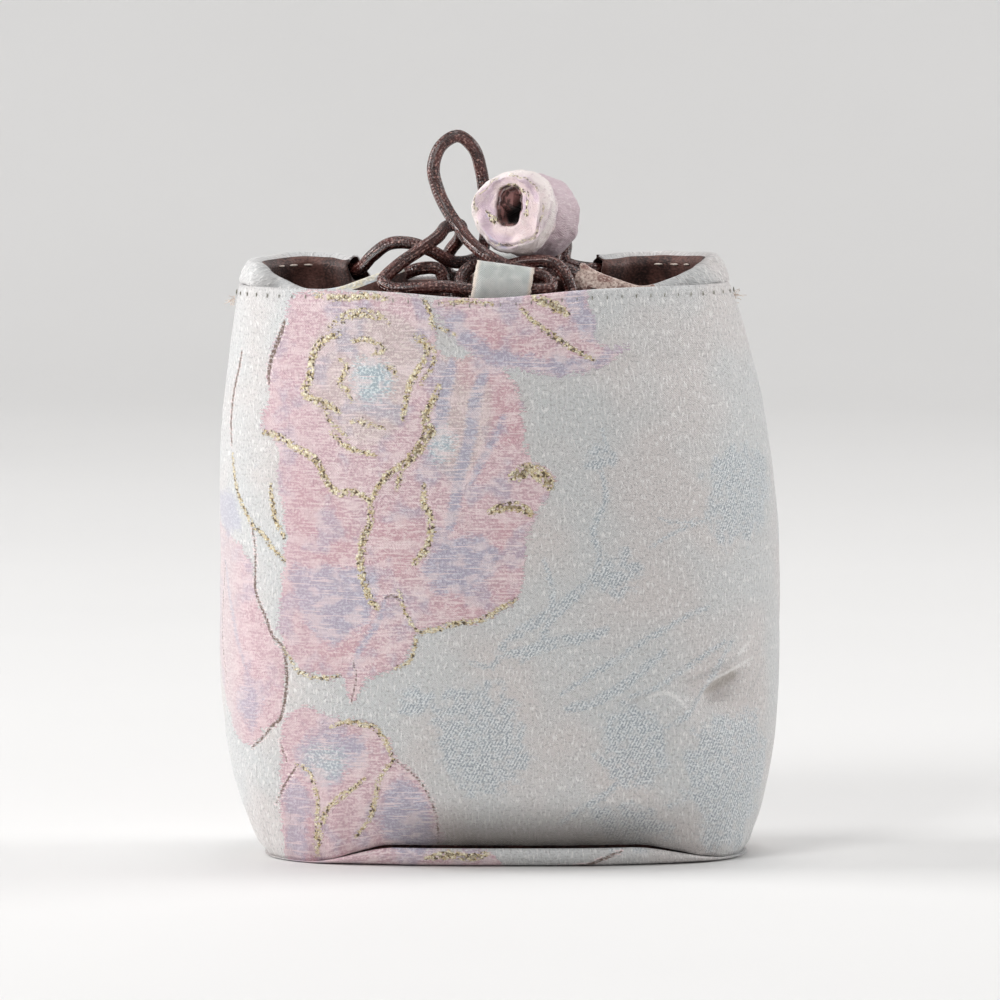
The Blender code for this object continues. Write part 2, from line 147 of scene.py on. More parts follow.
# The pouch's shell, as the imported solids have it
shell = {
    "bellyHeight": 38.0,
    "rimHeight": 88.0,
    "halfWidths": (36.4, 43.5, 38.3),  # base, belly, mouth
    "halfDepths": (20.5, 26.0, 18.2),
    "shifts": (1.1, 0.0, -2.4),
    "squareness": (2.7, 2.0),  # base, mouth
    "lowerFullness": 3.0,
    "upperFullness": 2.6,
    "shiftFullness": 1.9,
    "cloth": 1.1,
    "seamGap": 0.3,
    "baseEdge": 3.0,
    "seamTuck": 0.7,
    "footCurl": 0.55,
    "footReach": 2.8,
    # where the base's seam dips: across from, to, and by how much
    "dips": ((-16.0, -30.0, 3.0), (20.0, 36.0, 2.7)),
    "dipReach": 4.5,
    "dipFull": 2.0,
    "rimRises": (0.4, 0.8),  # left, right
    "rimSag": 1.4,
    "sagReach": 12.6,
    "rimShiftFrom": 72.0,
    "underCurl": 0.7,
    "underReach": 3.4,
    "cornerTuck": 2.6,
    "fineSteps": 600,
    # side, across, height, reach across and up, tilt, depth
    "folds": (
        ("front", 34.0, 25.5, 5.5, 3.0, -24, 1.3),
        ("front", 31.0, 33.0, 9.0, 2.8, 32, 0.6),
        ("front", 25.0, 12.0, 12.0, 4.0, 12, -0.5),
        ("front", -33.0, 16.0, 7.0, 3.0, -35, 0.6),
        ("front", 2.0, 7.5, 24.0, 2.2, 1, 0.5),
        ("back", -30.0, 22.0, 8.0, 3.0, 25, 1.0),
        ("back", 28.0, 17.0, 9.0, 3.0, -20, 0.8),
        ("back", 0.0, 8.0, 24.0, 2.0, 0, 0.5),
    ),
    # narrow creases that only show close up
    "creases": (
        ("front", 34.0, 26.8, 3.8, 1.9, 37, 1.15),
        ("front", 33.6, 29.6, 5.0, 0.8, 37, -0.6),
        ("front", 29.0, 24.0, 6.0, 0.8, 58, -0.35),
        ("front", 25.5, 27.0, 6.0, 0.9, 18, 0.3),
        ("front", 37.5, 31.0, 6.0, 0.8, 42, 0.35),
        ("front", 36.0, 35.0, 7.0, 0.9, 48, -0.3),
        ("front", 27.0, 24.0, 6.5, 0.8, 28, -0.25),
        ("front", 30.0, 39.0, 8.0, 1.2, 30, 0.25),
        ("front", 22.0, 30.0, 8.0, 1.3, 24, 0.2),
        ("front", -37.0, 12.0, 5.0, 0.9, -52, -0.3),
        ("front", -31.0, 9.0, 5.0, 0.9, -40, 0.3),
        ("front", -6.0, 79.0, 16.0, 2.2, -3, 0.3),
        ("front", 24.0, 77.0, 12.0, 1.8, 6, 0.3),
        ("back", -26.0, 26.0, 7.0, 1.0, 28, -0.3),
        ("back", 25.0, 21.0, 8.0, 1.0, -24, 0.3),
        ("back", 12.0, 62.0, 10.0, 2.0, 14, 0.3),
    ),
}


def share(z):
    belly = shell["bellyHeight"]
    low = np.clip(z / belly, 0.0, None) - 1.0
    return np.where(z < belly, low, (z - belly) / (shell["rimHeight"] - belly))


def level(sizes, z, upper):
    base, belly, mouth = sizes
    s = share(z)
    below = mixed(belly, base, np.abs(s) ** shell["lowerFullness"])
    return np.where(s < 0, below, mixed(belly, mouth, np.abs(s) ** upper))


def halfWidth(z):
    return level(shell["halfWidths"], z, shell["upperFullness"])


def halfDepth(z):
    return level(shell["halfDepths"], z, shell["upperFullness"])


def sideways(z):
    return level(shell["shifts"], z, shell["shiftFullness"])


def squareness(z):
    return mixed(*shell["squareness"], climb(z, 0.0, shell["rimHeight"]))


def foldDepth(front, x, z, table, spread=1.0):
    depth = np.zeros_like(x)
    for on, across, height, reach, rise, tilt, size in table:
        if spread > 1.0 and size < 0:
            continue
        turn = math.radians(tilt)
        along = (x - across) * math.cos(turn) + (z - height) * math.sin(turn)
        over = (z - height) * math.cos(turn) - (x - across) * math.sin(turn)
        dent = size * np.exp(-((along / (reach * spread)) ** 2) - (over / (rise * spread)) ** 2)
        depth += np.where(front == (on == "front"), dent, 0.0)
    return depth


def rimShift(x, front, z):
    # the rim sags in the middle of the front and rises a little at the corners
    off = x - sideways(z)
    rise = mixed(*shell["rimRises"], climb(off / halfWidth(z), -0.8, 0.2))
    sag = np.where(front, shell["rimSag"] * bell(off, shell["sagReach"]), 0.0)
    return climb(z, shell["rimShiftFrom"], shell["rimHeight"]) ** 2 * (rise - sag)


def shellPoints(angle, z, inset, spread=1.0, extra=0.0):
    wide = halfWidth(z) - inset
    deep = halfDepth(z) - inset
    power = 2.0 / squareness(z)
    c = np.cos(angle)
    s = np.sin(angle)
    x = wide * np.sign(c) * np.abs(c) ** power
    y = deep * np.sign(s) * np.abs(s) ** power
    nx = x / wide**2
    ny = y / deep**2
    size = np.sqrt(nx**2 + ny**2)
    x = x + sideways(z)
    depth = extra
    if spread > 0:
        dents = foldDepth(s < 0, x, z, shell["folds"], spread)
        depth = depth + dents * np.minimum(1.0, np.abs(s) * 3.0)
    height = z + rimShift(x, s < 0, z)
    return np.stack([x - nx / size * depth, y - ny / size * depth, height], axis=-1)


def seamDip(x):
    dip = 0.0
    for start, end, size in shell["dips"]:
        part = climb(x, start, end)
        dip = dip + size * part * part * (3.0 - 2.0 * part)
    return dip


def runAlong(track):
    return np.concatenate([[0.0], np.cumsum(np.linalg.norm(np.diff(track, axis=0), axis=1))])


def evenAngles(start, end, columns, z, inset):
    # angles at even steps along one level, and that level's length
    fine = np.linspace(start, end, shell["fineSteps"])
    run = runAlong(shellPoints(fine, np.full(len(fine), z), inset, spread=0.0))
    return np.interp(np.linspace(0, run[-1], columns), run, fine), run[-1]


def levels(start, end, columns, places):
    found = [evenAngles(start, end, columns, z, inset) for z, inset in places]
    return np.array([angles for angles, length in found]).T, np.array([length for angles, length in found])


# The woven pattern: outlines in the photograph's pixels, laid on the cloth of the front wall
petalOutlines = {
    "rose": [
        (298, 298), (287, 325), (277, 347), (269, 370), (270, 395), (265, 416), (268, 434), (282, 448),
        (280, 472), (284, 500), (287, 530), (288, 556), (284, 582), (281, 612), (285, 640), (296, 661),
        (312, 672), (330, 676), (342, 676), (349, 692), (355, 701), (363, 686), (374, 672), (396, 666),
        (411, 657), (416, 641), (420, 631), (440, 627), (462, 621), (486, 617), (508, 604), (521, 590),
        (525, 566), (527, 545), (533, 523), (541, 505), (552, 488), (551, 476), (536, 464), (526, 448),
        (524, 428), (521, 403), (511, 380), (496, 363), (475, 355), (456, 358), (441, 352), (436, 330),
        (431, 305), (400, 297), (350, 296),
    ],
    "leaf": [
        (434, 300), (444, 322), (460, 345), (483, 363), (514, 374), (550, 377), (585, 374), (612, 364),
        (627, 349), (612, 352), (598, 345), (592, 322), (585, 294), (560, 291), (500, 294),
    ],
    "foot": [(302, 845), (380, 844), (440, 846), (488, 848), (487, 874), (300, 874)],
    "bud": [
        (288, 712), (305, 704), (330, 713), (362, 719), (384, 730), (397, 755), (415, 771), (429, 790),
        (437, 815), (439, 846), (400, 850), (330, 850), (290, 844), (283, 815), (281, 775), (282, 738),
    ],
    "farBand": [
        (218, 530), (236, 538), (252, 560), (258, 590), (267, 616), (276, 638), (287, 650), (287, 690),
        (282, 713), (268, 728), (252, 742), (240, 735), (228, 700), (220, 640),
    ],
}
mauveOutlines = {
    "roseHeart": [
        (310, 352), (322, 335), (344, 318), (372, 314), (404, 322), (424, 340), (426, 362), (412, 386),
        (408, 410), (392, 436), (366, 446), (342, 436), (322, 412), (306, 396), (311, 374),
    ],
    "upperPetal": [
        (440, 360), (462, 352), (484, 372), (492, 410), (484, 450), (462, 480), (440, 470), (432, 446),
        (440, 410),
    ],
}
deepOutlines = {
    "petalTip": [(456, 362), (476, 358), (492, 366), (498, 382), (480, 392), (462, 384)],
    "petalSide": [(497, 388), (516, 396), (522, 428), (516, 448), (498, 440), (492, 412)],
    "centre": [(376, 520), (402, 500), (424, 520), (424, 556), (404, 580), (380, 572), (370, 546)],
    "left": [(296, 470), (330, 490), (352, 520), (356, 560), (322, 566), (298, 540), (292, 500)],
    "lowRight": [(440, 602), (470, 596), (506, 588), (512, 598), (484, 612), (450, 618)],
    "right": [(496, 520), (520, 524), (522, 552), (510, 574), (498, 560)],
    "lowPetal": [(312, 648), (340, 636), (370, 642), (392, 654), (360, 668), (322, 668)],
    "leafMiddle": [(484, 320), (510, 334), (536, 352), (500, 356), (478, 340)],
    "budBase": [(300, 800), (318, 806), (316, 846), (298, 846)],
}
lavenderOutlines = {
    "lowPetal": [
        (292, 570), (318, 566), (350, 568), (374, 574), (380, 590), (372, 612), (352, 632), (332, 644),
        (316, 628), (300, 606),
    ],
    "rightPetal": [
        (434, 548), (456, 536), (482, 538), (497, 554), (493, 576), (470, 590), (446, 592), (424, 576),
    ],
    "leafEdge": [
        (444, 318), (458, 316), (476, 338), (506, 354), (540, 360), (580, 360), (612, 356), (590, 372),
        (550, 376), (510, 373), (480, 360), (458, 342),
    ],
    "leafTip": [(566, 296), (582, 296), (592, 322), (598, 346), (586, 340), (572, 318)],
    "budRight": [(386, 790), (404, 776), (424, 792), (434, 820), (434, 846), (396, 848), (382, 822)],
    "budLeft": [(288, 782), (300, 776), (310, 792), (309, 820), (302, 846), (290, 842)],
    "farBand": [(221, 496), (234, 494), (242, 512), (240, 530), (226, 532)],
    "farLow": [(240, 690), (256, 684), (266, 700), (258, 722), (246, 716)],
    "budHeart": [(300, 742), (330, 730), (362, 736), (372, 752), (350, 768), (322, 778), (302, 768)],
}
iceOutlines = {
    "heart": [(358, 366), (376, 362), (392, 374), (392, 390), (382, 400), (366, 402), (356, 388)],
    "fold": [(432, 436), (446, 430), (454, 446), (446, 460), (432, 456)],
    "budHeart": [(306, 748), (326, 742), (346, 750), (344, 768), (326, 776), (308, 768)],
}
# lavender shadows that run down the upper right petal
shadeStrokes = {
    "main": (0.95, [(486, 372), (478, 392), (474, 414), (470, 440), (462, 468), (456, 500), (450, 528)]),
    "left": (1.1, [(452, 366), (446, 390), (442, 414), (440, 432)]),
    "right": (0.5, [(504, 418), (494, 440), (482, 462), (470, 486)]),
    "low": (0.5, [(388, 596), (380, 620), (364, 644), (352, 672)]),
    "far": (0.35, [(226, 560), (232, 600), (240, 640), (252, 676)]),
}
# half width of the gold thread's line in millimetres, and its way
goldStrokes = {
    "stemTop": (0.5, [(424, 300), (431, 315), (434, 330)]),
    "stemFold": (0.35, [(434, 328), (445, 331), (457, 337)]),
    "ringOver": (0.35, [(330, 332), (345, 319), (362, 314), (380, 318), (391, 328)]),
    "ringRightOver": (0.35, [(421, 336), (433, 349), (435, 362), (429, 375), (421, 386)]),
    "ringLeftOver": (0.35, [(326, 408), (331, 420), (343, 432), (350, 440)]),
    "heartLow": (0.3, [(352, 424), (362, 421), (374, 426), (388, 430)]),
    "ringLeft": (0.75, [
        (341, 337), (327, 342), (318, 351), (313, 365), (312, 380), (306, 394), (318, 402), (330, 406),
        (341, 413),
    ]),
    "ringTop": (0.45, [(342, 326), (355, 320), (367, 319), (380, 323)]),
    "curl": (0.5, [(354, 344), (367, 342), (378, 346), (385, 353), (374, 356)]),
    "column": (0.5, [(341, 360), (349, 368), (345, 377), (342, 386), (350, 392), (353, 402)]),
    "smallCurl": (0.45, [(389, 369), (395, 372), (397, 378)]),
    "ringRight": (0.6, [(416, 339), (427, 350), (425, 363), (416, 376), (410, 389), (407, 404), (404, 421)]),
    "ringOuter": (0.75, [
        (440, 388), (434, 402), (427, 415), (427, 427), (434, 433), (424, 442), (411, 460), (402, 470),
    ]),
    "ringLow": (0.5, [(333, 433), (348, 447), (362, 452), (378, 456)]),
    "ringLowInner": (0.4, [(357, 420), (371, 428)]),
    "lowerLeft": (0.7, [
        (266, 433), (281, 437), (295, 446), (309, 454), (320, 463), (328, 480), (339, 493), (350, 492),
        (362, 494), (372, 502),
    ]),
    "limb": (0.65, [(372, 502), (384, 481), (400, 468), (413, 459), (424, 446), (428, 424)]),
    "limbInner": (0.5, [(398, 490), (402, 474)]),
    "down": (0.75, [
        (372, 502), (372, 521), (366, 536), (363, 551), (363, 568), (368, 586), (373, 600), (380, 606),
    ]),
    "rightLoop": (0.65, [(425, 486), (425, 504), (431, 515), (432, 530), (428, 547), (420, 557), (414, 563)]),
    "stemLow": (0.35, [(400, 588), (407, 611), (415, 625), (423, 631)]),
    "lowEdge": (0.5, [(422, 630), (439, 627), (458, 621), (481, 618), (500, 607), (517, 598)]),
    "petalEdge": (0.35, [(417, 634), (416, 645), (411, 659), (396, 666)]),
    "hem": (0.4, [(342, 672), (325, 676), (304, 671), (294, 660), (286, 645)]),
    "farArc": (0.5, [(236, 455), (238, 477), (242, 497), (253, 522), (265, 534), (275, 548), (287, 560)]),
    "farInner": (0.55, [(273, 485), (275, 504), (278, 520), (287, 538)]),
    "budTop": (0.5, [(334, 723), (349, 719), (363, 721), (377, 725), (387, 738), (395, 757)]),
    "budRight": (0.45, [(395, 757), (382, 773), (377, 793), (372, 812), (357, 829)]),
    "budMiddle": (0.5, [(367, 775), (352, 786), (336, 796), (326, 808), (319, 836)]),
    "budLeft": (0.4, [(297, 761), (308, 765), (316, 779), (320, 797), (318, 820), (318, 837)]),
    "leafVein": (0.5, [(518, 306), (534, 324), (552, 338), (572, 352), (592, 362)]),
    "spurHigh": (1.35, [(512, 477), (530, 471), (543, 478), (549, 486)]),
    "spurLow": (0.9, [(490, 511), (510, 506), (524, 509), (530, 514)]),
    "rimLeft": (0.6, [(318, 300), (345, 303), (368, 300), (388, 303)]),
    "rimRight": (0.9, [(534, 300), (552, 308), (566, 318)]),
    "rimStem": (0.4, [(442, 304), (470, 300), (492, 303)]),
    "foot": (0.8, [(428, 854), (450, 851), (470, 854), (487, 850)]),
}
darkStrokes = {
    "roseLeft": (0.36, [(287, 324), (281, 340), (275, 356), (271, 372), (271, 384)]),
    "farTop": (0.3, [(243, 352), (240, 372), (236, 390), (234, 410), (234, 430), (235, 446)]),
    "farDown": (0.26, [
        (253, 522), (257, 546), (257, 586), (262, 602), (267, 614), (275, 634), (286, 646), (289, 668),
        (288, 693), (284, 714), (274, 724), (263, 736), (253, 745),
    ]),
    "farEdge": (0.18, [(226, 560), (224, 600), (224, 640), (230, 690)]),
    "budSide": (0.2, [(281, 738), (287, 757)]),
    "budStem": (0.2, [(298, 761), (287, 779), (279, 796)]),
    "budEdge": (0.15, [(397, 757), (415, 771), (429, 790), (437, 815), (438, 842)]),
    "roseStem": (0.15, [(354, 655), (358, 676), (353, 700)]),
    "tail": (0.2, [(385, 597), (396, 594), (402, 600)]),
    "footMark": (0.25, [(556, 865), (586, 862), (600, 856), (620, 848)]),
}
# pale blue twill flowers and stems, tone on tone
bloomOutlines = {
    "low": [
        (438, 700), (462, 686), (496, 686), (512, 700), (526, 730), (530, 756), (512, 780), (480, 788),
        (452, 776), (440, 744),
    ],
    "lowRight": [
        (604, 722), (618, 704), (640, 708), (662, 726), (664, 760), (648, 782), (622, 786), (604, 762),
    ],
    "right": [(712, 456), (738, 446), (762, 458), (768, 500), (752, 532), (722, 544), (706, 510)],
    "corner": [
        (690, 742), (712, 716), (744, 712), (764, 730), (760, 778), (742, 820), (708, 828), (684, 790),
    ],
    "foot": [(586, 812), (612, 800), (648, 802), (668, 818), (654, 838), (610, 840)],
    "leafLow": [(398, 694), (420, 684), (436, 692), (432, 712), (410, 716)],
    "budTip": [(594, 574), (618, 552), (640, 566), (628, 588), (604, 596)],
    "high": [(590, 452), (606, 446), (612, 462), (600, 476), (588, 468)],
}
# the dent at the lower right: its patch of painted shade, painted highlights along the ridges and painted
# shade in the furrows round it
dentShadeOutlines = {"dent": [(706, 691), (711, 679), (722, 669), (733, 666), (736, 675), (727, 684), (715, 691)]}
ridgeHighlightStrokes = {
    "main": (0.28, [(704, 681), (722, 672), (737, 665), (751, 657)]),
    "high": (0.2, [(735, 654), (742, 646), (749, 639)]),
    "left": (0.25, [(647, 694), (664, 690), (676, 696), (685, 708)]),
}
furrowShadeStrokes = {
    "main": (0.3, [(684, 681), (704, 672), (722, 663), (738, 653)]),
    "low": (0.25, [(702, 690), (693, 700), (691, 712)]),
    "right": (0.2, [(748, 691), (756, 677), (763, 661)]),
    "far": (0.2, [(655, 690), (640, 694), (628, 702)]),
}
bloomStrokes = {
    "stemHigh": (0.5, [(600, 470), (604, 500), (592, 530), (598, 560), (580, 590), (560, 610), (540, 634)]),
    "stemLeft": (0.45, [(544, 560), (552, 590), (548, 620), (538, 646), (520, 660)]),
    "leafLong": (0.9, [(506, 652), (530, 648), (556, 640), (590, 634), (604, 628)]),
    "leafFold": (0.8, [(498, 650), (520, 630), (545, 614), (570, 596), (592, 578)]),
    "spray": (0.45, [(560, 692), (590, 672), (620, 654), (650, 634), (690, 612), (706, 606)]),
    "sprayLow": (0.8, [(566, 706), (590, 700), (618, 686), (640, 668), (662, 650)]),
    "sprayRight": (0.4, [(626, 694), (650, 688), (676, 672), (700, 656), (724, 640)]),
    "twig": (0.3, [(648, 546), (668, 534), (690, 524), (712, 516), (728, 508)]),
    "twigHigh": (0.3, [(656, 518), (676, 522), (694, 520)]),
    "lowTwig": (0.4, [(470, 660), (492, 664), (500, 652)]),
    "cornerTwig": (0.5, [(664, 724), (684, 712), (702, 690), (716, 664), (730, 640)]),
    "upTwig": (0.3, [(600, 470), (606, 452), (600, 430)]),
    "footTwig": (0.5, [(560, 820), (580, 806), (604, 790), (618, 778)]),
}


pattern = {"reach": 3.0, "taper": 0.35, "goldShare": 0.82, "seam": 0.9995, "fineSteps": 160, "passes": 4}


def rounded(points, closed=False, steps=4):
    # a smooth line through an outline's points
    p = np.array(points, dtype=float)
    if closed:
        p = np.vstack([p[-1:], p, p[:2]])
    else:
        p = np.vstack([2 * p[:1] - p[1:2], p, 2 * p[-1:] - p[-2:-1]])
    t = (np.arange(steps) / steps)[:, None]
    runs = []
    for a, b, c, d in zip(p, p[1:], p[2:], p[3:]):
        bend = 2 * a - 5 * b + 4 * c - d
        runs.append(b + 0.5 * t * (c - a + t * (bend + t * (3 * b - a - 3 * c + d))))
    if not closed:
        runs.append(p[-2:-1])
    return np.vstack(runs)


def frontDepth(x, z):
    part = np.clip(np.abs(x - sideways(z)) / halfWidth(z), 0.0, pattern["seam"])
    power = squareness(z)
    return -halfDepth(z) * (1.0 - part**power) ** (1.0 / power)


def onCloth(pixels):
    # pixels of the photograph to the front wall's cloth: along it from its middle, and up
    tilt = math.radians(view["elevation"])
    x = (pixels[:, 0] - view["footPixel"][0]) / view["pixelsPerMm"]
    seen = (view["footPixel"][1] - pixels[:, 1]) / view["pixelsPerMm"]
    z = seen.copy()
    for attempt in range(pattern["passes"]):
        z = (seen - math.sin(tilt) * frontDepth(x, z)) / math.cos(tilt)
    middle = sideways(z)
    reach = pattern["seam"] * halfWidth(z)
    steps = np.linspace(0.0, 1.0, pattern["fineSteps"])[:, None]
    across = middle + (np.clip(x, middle - reach, middle + reach) - middle) * steps
    deep = frontDepth(across, z)
    run = np.hypot(np.diff(across, axis=0), np.diff(deep, axis=0)).sum(axis=0)
    return np.stack([run * np.sign(x - middle), z], axis=-1)


def toSegment(p, a, b):
    ab = b - a
    t = np.clip(((p - a) @ ab) / max(ab @ ab, 1e-9), 0.0, 1.0)
    return np.linalg.norm(p - a - t[:, None] * ab, axis=1)


def nearOutline(places, line):
    low = line.min(axis=0) - pattern["reach"]
    high = line.max(axis=0) + pattern["reach"]
    return np.all((places > low) & (places < high), axis=1)


def strokeField(places, line, half):
    # how far inside the stroke, which thins towards its ends
    field = np.full(len(places), -pattern["reach"])
    near = nearOutline(places, line)
    p = places[near]
    best = np.full(len(p), -pattern["reach"])
    for i, (a, b) in enumerate(zip(line, line[1:])):
        along = 2.0 * i / max(len(line) - 2, 1) - 1.0
        width = half * (1.0 - pattern["taper"] * along**4)
        best = np.maximum(best, width - toSegment(p, a, b))
    field[near] = best
    return field


def areaField(places, line):
    # how far inside the outline, less than none outside it
    field = np.full(len(places), -pattern["reach"])
    near = nearOutline(places, line)
    p = places[near]
    inside = np.zeros(len(p), dtype=bool)
    edge = np.full(len(p), np.inf)
    for a, b in zip(line, np.roll(line, -1, axis=0)):
        edge = np.minimum(edge, toSegment(p, a, b))
        if a[1] == b[1]:
            continue
        meets = a[0] + (p[:, 1] - a[1]) * (b[0] - a[0]) / (b[1] - a[1])
        inside ^= ((a[1] > p[:, 1]) != (b[1] > p[:, 1])) & (p[:, 0] < meets)
    field[near] = np.where(inside, edge, -edge)
    return field


areas = {
    "petal": petalOutlines, "mauve": mauveOutlines, "deep": deepOutlines, "lavender": lavenderOutlines,
    "ice": iceOutlines, "bloom": bloomOutlines, "dentShade": dentShadeOutlines,
}
lines = {
    "shade": shadeStrokes, "gold": goldStrokes, "dark": darkStrokes, "bloomStem": bloomStrokes,
    "ridgeHighlight": ridgeHighlightStrokes, "furrowShade": furrowShadeStrokes,
}
motifs = {}
for name, outlines in areas.items():
    motifs[name] = [(areaField, onCloth(rounded(line, closed=True))) for line in outlines.values()]
for name, strokes in lines.items():
    thin = pattern["goldShare"] if name == "gold" else 1.0
    motifs[name] = [(strokeField, onCloth(rounded(line)), thin * half) for half, line in strokes.values()]


def weavePattern(piece, along, up, repeats=((0.0, 0.0),)):
    # repeats are the pattern's repeats on this piece: moved across, moved up
    places = np.column_stack([along.ravel(), up.ravel()])
    paint(piece, "cloth", np.column_stack([places, np.zeros(len(places))]))
    for name, shapes in motifs.items():
        best = np.full(len(places), -pattern["reach"])
        for shift in repeats:
            moved = places - shift
            for measure, *given in shapes:
                best = np.maximum(best, measure(moved, *given))
        paint(piece, name, best)


print("pattern drawn")


# Shader helpers

def rgb(r, g, b):
    def linear(c):
        c = c / 255.0
        return c / 12.92 if c <= 0.04045 else ((c + 0.055) / 1.055) ** 2.4
    return (linear(r), linear(g), linear(b), 1.0)


def put(tree, kind, values=None, **settings):
    made = tree.nodes.new(kind)
    for name, value in settings.items():
        setattr(made, name, value)
    for name, value in (values or {}).items():
        if isinstance(value, bpy.types.NodeSocket):
            tree.links.new(value, made.inputs[name])
        else:
            made.inputs[name].default_value = value
    return made


def calc(operation, *values):
    tree = next(value.id_data for value in values if isinstance(value, bpy.types.NodeSocket))
    return put(tree, "ShaderNodeMath", dict(enumerate(values)), operation=operation).outputs[0]


def mul(a, b):
    return calc("MULTIPLY", a, b)


def mad(a, b, c):
    return calc("MULTIPLY_ADD", a, b, c)


def ramp(value, low, high, outLow=0.0, outHigh=1.0):
    values = {"Value": value, "From Min": low, "From Max": high, "To Min": outLow, "To Max": outHigh}
    made = put(value.id_data, "ShaderNodeMapRange", values, interpolation_type="SMOOTHSTEP")
    return made.outputs["Result"]


def blend(factor, a, b):
    return put(factor.id_data, "ShaderNodeMix", {0: factor, 6: a, 7: b}, data_type="RGBA").outputs[2]


def layered(colour, *layers):
    for factor, over in layers:
        colour = blend(factor, colour, over)
    return colour


def attribute(tree, name, kind="Fac"):
    return put(tree, "ShaderNodeAttribute", attribute_name=name).outputs[kind]


def objectPlace(tree):
    return put(tree, "ShaderNodeTexCoord").outputs["Object"]


def stretched(place, x, y, z=1.0):
    made = put(place.id_data, "ShaderNodeVectorMath", {0: place, 1: (x, y, z)}, operation="MULTIPLY")
    return made.outputs[0]


def inMillimetres(tree):
    return stretched(objectPlace(tree), 1000.0, 1000.0, 1000.0)


def parted(vector):
    return put(vector.id_data, "ShaderNodeSeparateXYZ", {0: vector}).outputs


def grain(place, scale, detail=2.0):
    values = {"Vector": place, "Scale": scale, "Detail": detail}
    return put(place.id_data, "ShaderNodeTexNoise", values).outputs["Fac"]


def streaks(place, x, y, z=1.0, detail=2.0):
    return grain(stretched(place, x, y, z), 1.0, detail)


def newGroup(name, kind, inputs, outputs):
    tree = bpy.data.node_groups.new(name, kind)
    for way, sockets in (("INPUT", inputs), ("OUTPUT", outputs)):
        for socket, form, *value in sockets:
            made = tree.interface.new_socket(socket, in_out=way, socket_type="NodeSocket" + form)
            if value:
                made.default_value = value[0]
    return tree, put(tree, "NodeGroupInput").outputs, put(tree, "NodeGroupOutput").inputs


def wovenThreads():
    # fine threads, slubs along the warp, and the stepped edge that floats give a pattern
    tree, given, out = newGroup(
        "wovenThreads", "ShaderNodeTree",
        [
            ("Place", "Vector"), ("Warp pitch", "Float", 0.42), ("Weft pitch", "Float", 0.36),
            ("Slub", "Float", 0.6),
        ],
        [(name, "Float") for name in ("Weave", "Slubs", "Steps", "Floats", "Flecks", "Twill")],
    )
    place = given["Place"]
    wander = mad(grain(place, 0.35, 1.0), 1.2, -0.6)
    parts = parted(place)
    turn = 2.0 * math.pi
    warp, weft = (
        calc("SINE", calc("DIVIDE", mul(calc("ADD", part, wander), turn), given[pitch]))
        for part, pitch in ((parts[0], "Warp pitch"), (parts[1], "Weft pitch"))
    )
    # twill: short slanting floats, broken up by noise
    slant = mad(parts[0], 1.0, mul(parts[1], -0.55))
    lines = calc("SINE", mul(slant, turn / 0.5))
    broken = mad(streaks(place, 2.6, 3.2), 8.0, -4.0)
    made = {
        "Weave": mad(mul(warp, weft), 0.5, 0.5),
        "Slubs": mul(ramp(streaks(place, 3.0, 0.9), 0.52, 0.66), given["Slub"]),
        "Steps": calc("SUBTRACT", streaks(place, 1.3, 3.6, detail=1.0), 0.5),
        "Floats": mad(streaks(place, 2.6, 2.9), 0.5, mul(streaks(place, 0.8, 2.9), 0.5)),
        "Flecks": streaks(place, 2.3, 2.7),
        "Twill": mad(calc("ADD", mul(lines, 0.6), broken), 0.36, 0.5),
    }
    for name, value in made.items():
        tree.links.new(value, out[name])
    return tree


def goldThread():
    # cream and gold loops over a dark olive core
    tree, given, out = newGroup(
        "goldThread", "ShaderNodeTree",
        [("Place", "Vector"), ("Dark", "Float", 0.42)], [("Color", "Color"), ("Height", "Float")],
    )
    cells = {"Vector": given["Place"], "Scale": 2.7}
    loops = put(tree, "ShaderNodeTexVoronoi", cells, feature="F1").outputs
    chance = put(tree, "ShaderNodeSeparateColor", {0: loops["Color"]}).outputs[0]
    tone = mad(chance, 0.4, mul(grain(given["Place"], 2.0), 0.65))
    light = blend(ramp(tone, 0.42, 0.6), rgb(214, 192, 142), rgb(252, 244, 216))
    light = blend(ramp(loops["Distance"], 0.35, 0.6, 0.0, 0.5), light, rgb(170, 142, 96))
    dark = ramp(tone, given["Dark"], calc("SUBTRACT", given["Dark"], 0.05))
    tree.links.new(blend(dark, light, rgb(88, 72, 48)), out["Color"])
    tree.links.new(calc("SUBTRACT", 1.0, loops["Distance"]), out["Height"])
    return tree


threadsGroup = wovenThreads()
goldGroup = goldThread()


def useGroup(group, place, values=None):
    given = {"Place": place, **(values or {})}
    return put(place.id_data, "ShaderNodeGroup", given, node_tree=group).outputs


def newMaterial(name, values):
    made = bpy.data.materials.new(name)
    made.use_nodes = True
    shader = made.node_tree.nodes["Principled BSDF"].inputs
    for socket, value in values.items():
        shader[socket].default_value = value
    return made, made.node_tree, shader


def surface(shader, colour, height, distance):
    tree = colour.id_data
    tree.links.new(colour, shader["Base Color"])
    values = {"Height": height, "Distance": distance * mm, "Strength": 1.0}
    tree.links.new(put(tree, "ShaderNodeBump", values).outputs["Normal"], shader["Normal"])


